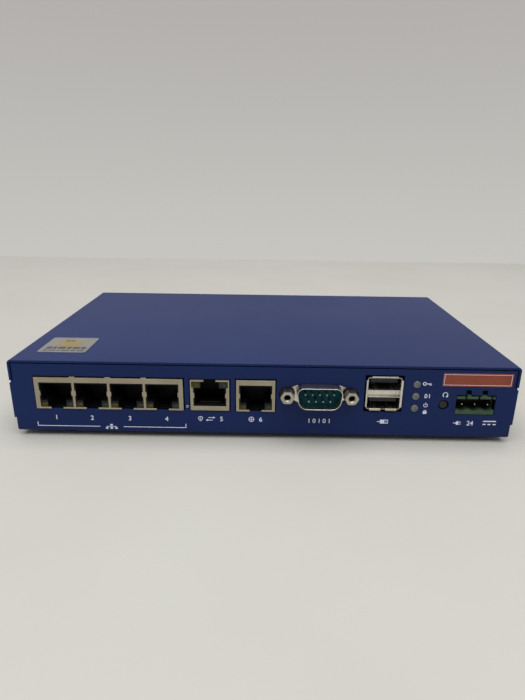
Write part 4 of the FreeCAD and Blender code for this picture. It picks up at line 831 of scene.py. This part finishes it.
def inkDigits(text, x, z, size, spacing):
    curve = bpy.data.curves.new("digits", "FONT")
    curve.body, curve.size, curve.space_character, curve.resolution_u = text, size, spacing, 3
    curve.offset = legend["bold"]
    holder = newObject("digits", curve)
    bpy.context.view_layer.update()
    flat = bpy.data.meshes.new_from_object(holder)
    bpy.data.objects.remove(holder)
    known = set(ink.verts)
    ink.from_mesh(flat)
    bpy.data.meshes.remove(flat)
    bmesh.ops.remove_doubles(ink, verts=fresh(ink.verts, known), dist=0.001)
    made = fresh(ink.verts, known)
    xs, ys = [point.co.x for point in made], [point.co.y for point in made]
    toMiddle = Matrix.Translation((-(min(xs) + max(xs)) / 2, -(min(ys) + max(ys)) / 2, 0))
    place = Matrix.Translation((x, legend["face"], z)) @ turned(90, "X") @ toMiddle
    bmesh.ops.transform(ink, matrix=place, verts=made)


for line in texts:
    inkDigits(*line)
for mark in marks.values():
    x, z = mark["at"]
    for u0, v0, u1, v1 in mark.get("bars", ()):
        inkShape(rectangle(x + u0, z + v0, x + u1, z + v1))
    for u, v, *ring in mark.get("rings", ()):
        inkRing(x + u, z + v, *ring)
    for shape in mark.get("shapes", ()):
        inkShape([(x + u, z + v) for u, v in shape])
lifted = bmesh.ops.extrude_face_region(ink, geom=list(ink.faces))["geom"]
bmesh.ops.translate(ink, vec=(0, -legend["ink"], 0), verts=pick(lifted, BMVert))
newPiece("panelLegend", ink, [panelInk], crease=20)

# Front label: brick-red film with a fine pale keyline
low, high = nodeBox("front_label")
keyline = {"corner": 0.12, "inset": 0.5, "line": 0.16, "ink": 0.02}
bm = bmesh.new()
corners = [(x, high.y, z) for x, z in rectangle(low.x, low.z, high.x, high.z)]
addPlate(bm, corners, (0, low.y - high.y, 0), keyline["corner"])
inset, line = keyline["inset"], keyline["line"]
x0, x1, z0, z1 = low.x + inset, high.x - inset, low.z + inset, high.z - inset
for x, z in (((x0, x1), (z0, z0 + line)), ((x0, x1), (z1 - line, z1)),
             ((x0, x0 + line), (z0 + line, z1 - line)), ((x1 - line, x1), (z0 + line, z1 - line))):
    addBlock(bm, x, (low.y - keyline["ink"], low.y), z, finish=1)
newPiece("frontLabel", bm, [redVinyl, panelInk], ["front_label"], crease=20)

# Top label: silvered film with rows of grey dashes, each row with its start, place, height and lengths
low, high = nodeBox("top_label")
film = {"thick": 0.12, "ink": 0.02, "corner": 1.2, "gap": 0.55}
rows = ((2.0, 1.6, 1.3, (1.6, 2.8, 1.1, 3.4, 2.0, 2.8)), (2.0, 4.0, 3.0, (2.4, 1.4, 3.2, 1.8, 2.9, 2.0)),
        (7.0, 14.2, 1.4, (1.6, 1.6)))
bm = bmesh.new()
corners = [(x, y, low.z) for x, y in rectangle(low.x, low.y, high.x, high.y)]
addPlate(bm, corners, (0, 0, film["thick"]), film["corner"], 6)
printed = (low.z + film["thick"], low.z + film["thick"] + film["ink"])
for start, y, tall, dashes in rows:
    x = low.x + start
    for dash in dashes:
        addBlock(bm, (x, x + dash), (low.y + y, low.y + y + tall), printed, finish=1)
        x += dash + film["gap"]
newPiece("topLabel", bm, [silverFoil, greyInk], ["top_label"], crease=20)

# Rating label under the case: white film, a ruled table and grey bars
low, high = nodeBox("rating_label")
table = {"margin": 3.0, "rule": 0.25, "rowPitch": 6.4, "rows": 4, "bar": (2.4, 4.2),
         "columns": (3.0, 22.0, 58.75), "columnSpan": (3.05, 28.8), "columnInk": 0.015}
bm = bmesh.new()
corners = [(x, y, high.z) for x, y in rectangle(low.x, low.y, high.x, high.y)]
addPlate(bm, corners, (0, 0, -film["thick"]), film["corner"], 6)
surface = high.z - film["thick"]
printed = (surface - film["ink"], surface)
for i in range(table["rows"] + 1):
    y = low.y + table["margin"] + i * table["rowPitch"]
    addBlock(bm, (low.x + table["margin"], high.x - table["margin"]), (y, y + table["rule"]), printed, finish=1)
    for start, end in ((5, 16 + 3 * (i % 2)), (26, 44 + 5 * ((i + 1) % 3))) if i < table["rows"] else ():
        addBlock(bm, (low.x + start, low.x + end), (y + table["bar"][0], y + table["bar"][1]), printed, finish=1)
for x in table["columns"]:
    addBlock(bm, (low.x + x, low.x + x + table["rule"]), [low.y + y for y in table["columnSpan"]],
             (surface - table["columnInk"], surface), finish=1)
newPiece("ratingLabel", bm, [whiteFilm, greyInk], ["rating_label"], crease=20)
print("legend and labels made")

# Inner parts keep the frame's own shapes, each in its finish
innerFinishes = {
    blackNylon: ("lan_jack_housing", "dmz_jack_housing", "wan_jack_housing"),
    solderMask: ("main_board",), zincPlate: ("board_standoffs", "board_screws", "serial_bracket"),
    charcoalPlastic: ("status_led_holder", "reset_switch"), thermalGel: ("thermal_pad",),
    chipResin: ("processor", "network_switch_chip", "memory_chips", "flash_chip", "serial_driver_chip",
                "line_transformers", "power_converter_chips"),
    blackAnodised: ("heat_sink",), ferrite: ("power_inductors",), canSleeve: ("electrolytic_capacitors",),
    fuseCeramic: ("input_fuse",), crystalCan: ("crystals",), chipCeramic: ("chip_capacitors",),
}
for finish, names in innerFinishes.items():
    for part in (nodes[name] for name in names):
        for slot in part.material_slots:
            slot.material = finish
        if not part.material_slots:
            part.data.materials.append(finish)
print("inner parts finished")

# Table, room, lamps and camera
room = {"table": ("#cbc9c1", "#c8c5bd"), "wall": "#c6c5c0", "upperWall": "#b3b0ad", "tableBack": 0.41,
        "tableReach": 3.0, "tableEdge": 1.5, "tableDepth": 25, "sky": 0.25, "skyColour": (0.93, 0.96, 1.0, 1.0)}
tableTop = plainFinish("tableLaminate", sheen(0.3), room["table"], 90, (0.5, 0.6), 1.5, 0.01)
bm = bmesh.new()
reach = room["tableReach"] / mm
addBlock(bm, (-reach, reach), (-reach, room["tableBack"] / mm), (-room["tableDepth"], 0), room["tableEdge"])
floor = meshObject("table", bm, [tableTop])

world = bpy.data.worlds.new("room")
scene.world = world
world.use_nodes = True
tree = world.node_tree
tree.nodes.clear()
ray = addNode(tree, "LightPath").outputs
seen = addNode(tree, "Math", {"operation": "MAXIMUM"}, {0: ray["Is Camera Ray"], 1: ray["Is Glossy Ray"]})
seen = addNode(tree, "Math", {"operation": "MAXIMUM"}, {0: seen, 1: ray["Is Transmission Ray"]})
lit = addNode(tree, "Background", {"Color": room["skyColour"], "Strength": room["sky"]})
heading = addNode(tree, "SeparateXYZ", links={0: addNode(tree, "TexCoord").outputs["Generated"]})
height = addNode(tree, "MapRange", {1: -0.12, 2: 0.25}, {0: heading.outputs[2]})
wallTone = addNode(tree, "Mix", {"data_type": "RGBA", 6: linear(room["wall"]), 7: linear(room["upperWall"])},
                   {0: height})
wall = addNode(tree, "Background", links={"Color": wallTone.outputs[2]})
mixed = addNode(tree, "MixShader", links={0: seen, 1: lit, 2: wall})
addNode(tree, "OutputWorld", links={"Surface": mixed})

lamps = {
    "overhead": {"size": 1.5, "power": 20.0, "place": (0.0, -0.25, 1.25), "aim": (0, -0.05, 0)},
    "front": {"size": 0.9, "power": 0.5, "place": (0.1, -0.75, 0.95), "aim": (0, -0.05, 0)},
}
for name, light in lamps.items():
    lampData = bpy.data.lights.new(name, "AREA")
    lampData.size, lampData.energy = light["size"], light["power"]
    holder = newObject(name, lampData)
    holder.location = light["place"]
    holder.rotation_euler = (Vector(light["place"]) - Vector(light["aim"])).to_track_quat("Z", "Y").to_euler()

view = {"lens": 26.47, "sensor": 36.0, "place": (0.48, -245.14, 101.5), "pitch": 18.73, "yaw": 0.31,
        "roll": 0.775}
cameraData = bpy.data.cameras.new("camera")
cameraData.lens, cameraData.sensor_width = view["lens"], view["sensor"]
cameraData.clip_start = 0.01
camera = newObject("camera", cameraData)
turn = turned(view["yaw"], "Z") @ turned(90 - view["pitch"], "X") @ turned(view["roll"], "Z")
camera.matrix_world = Matrix.Translation(Vector(view["place"]) * mm) @ turn
scene.camera = camera
scene.view_settings.view_transform = "Standard"
print("stage, lamps and camera set")
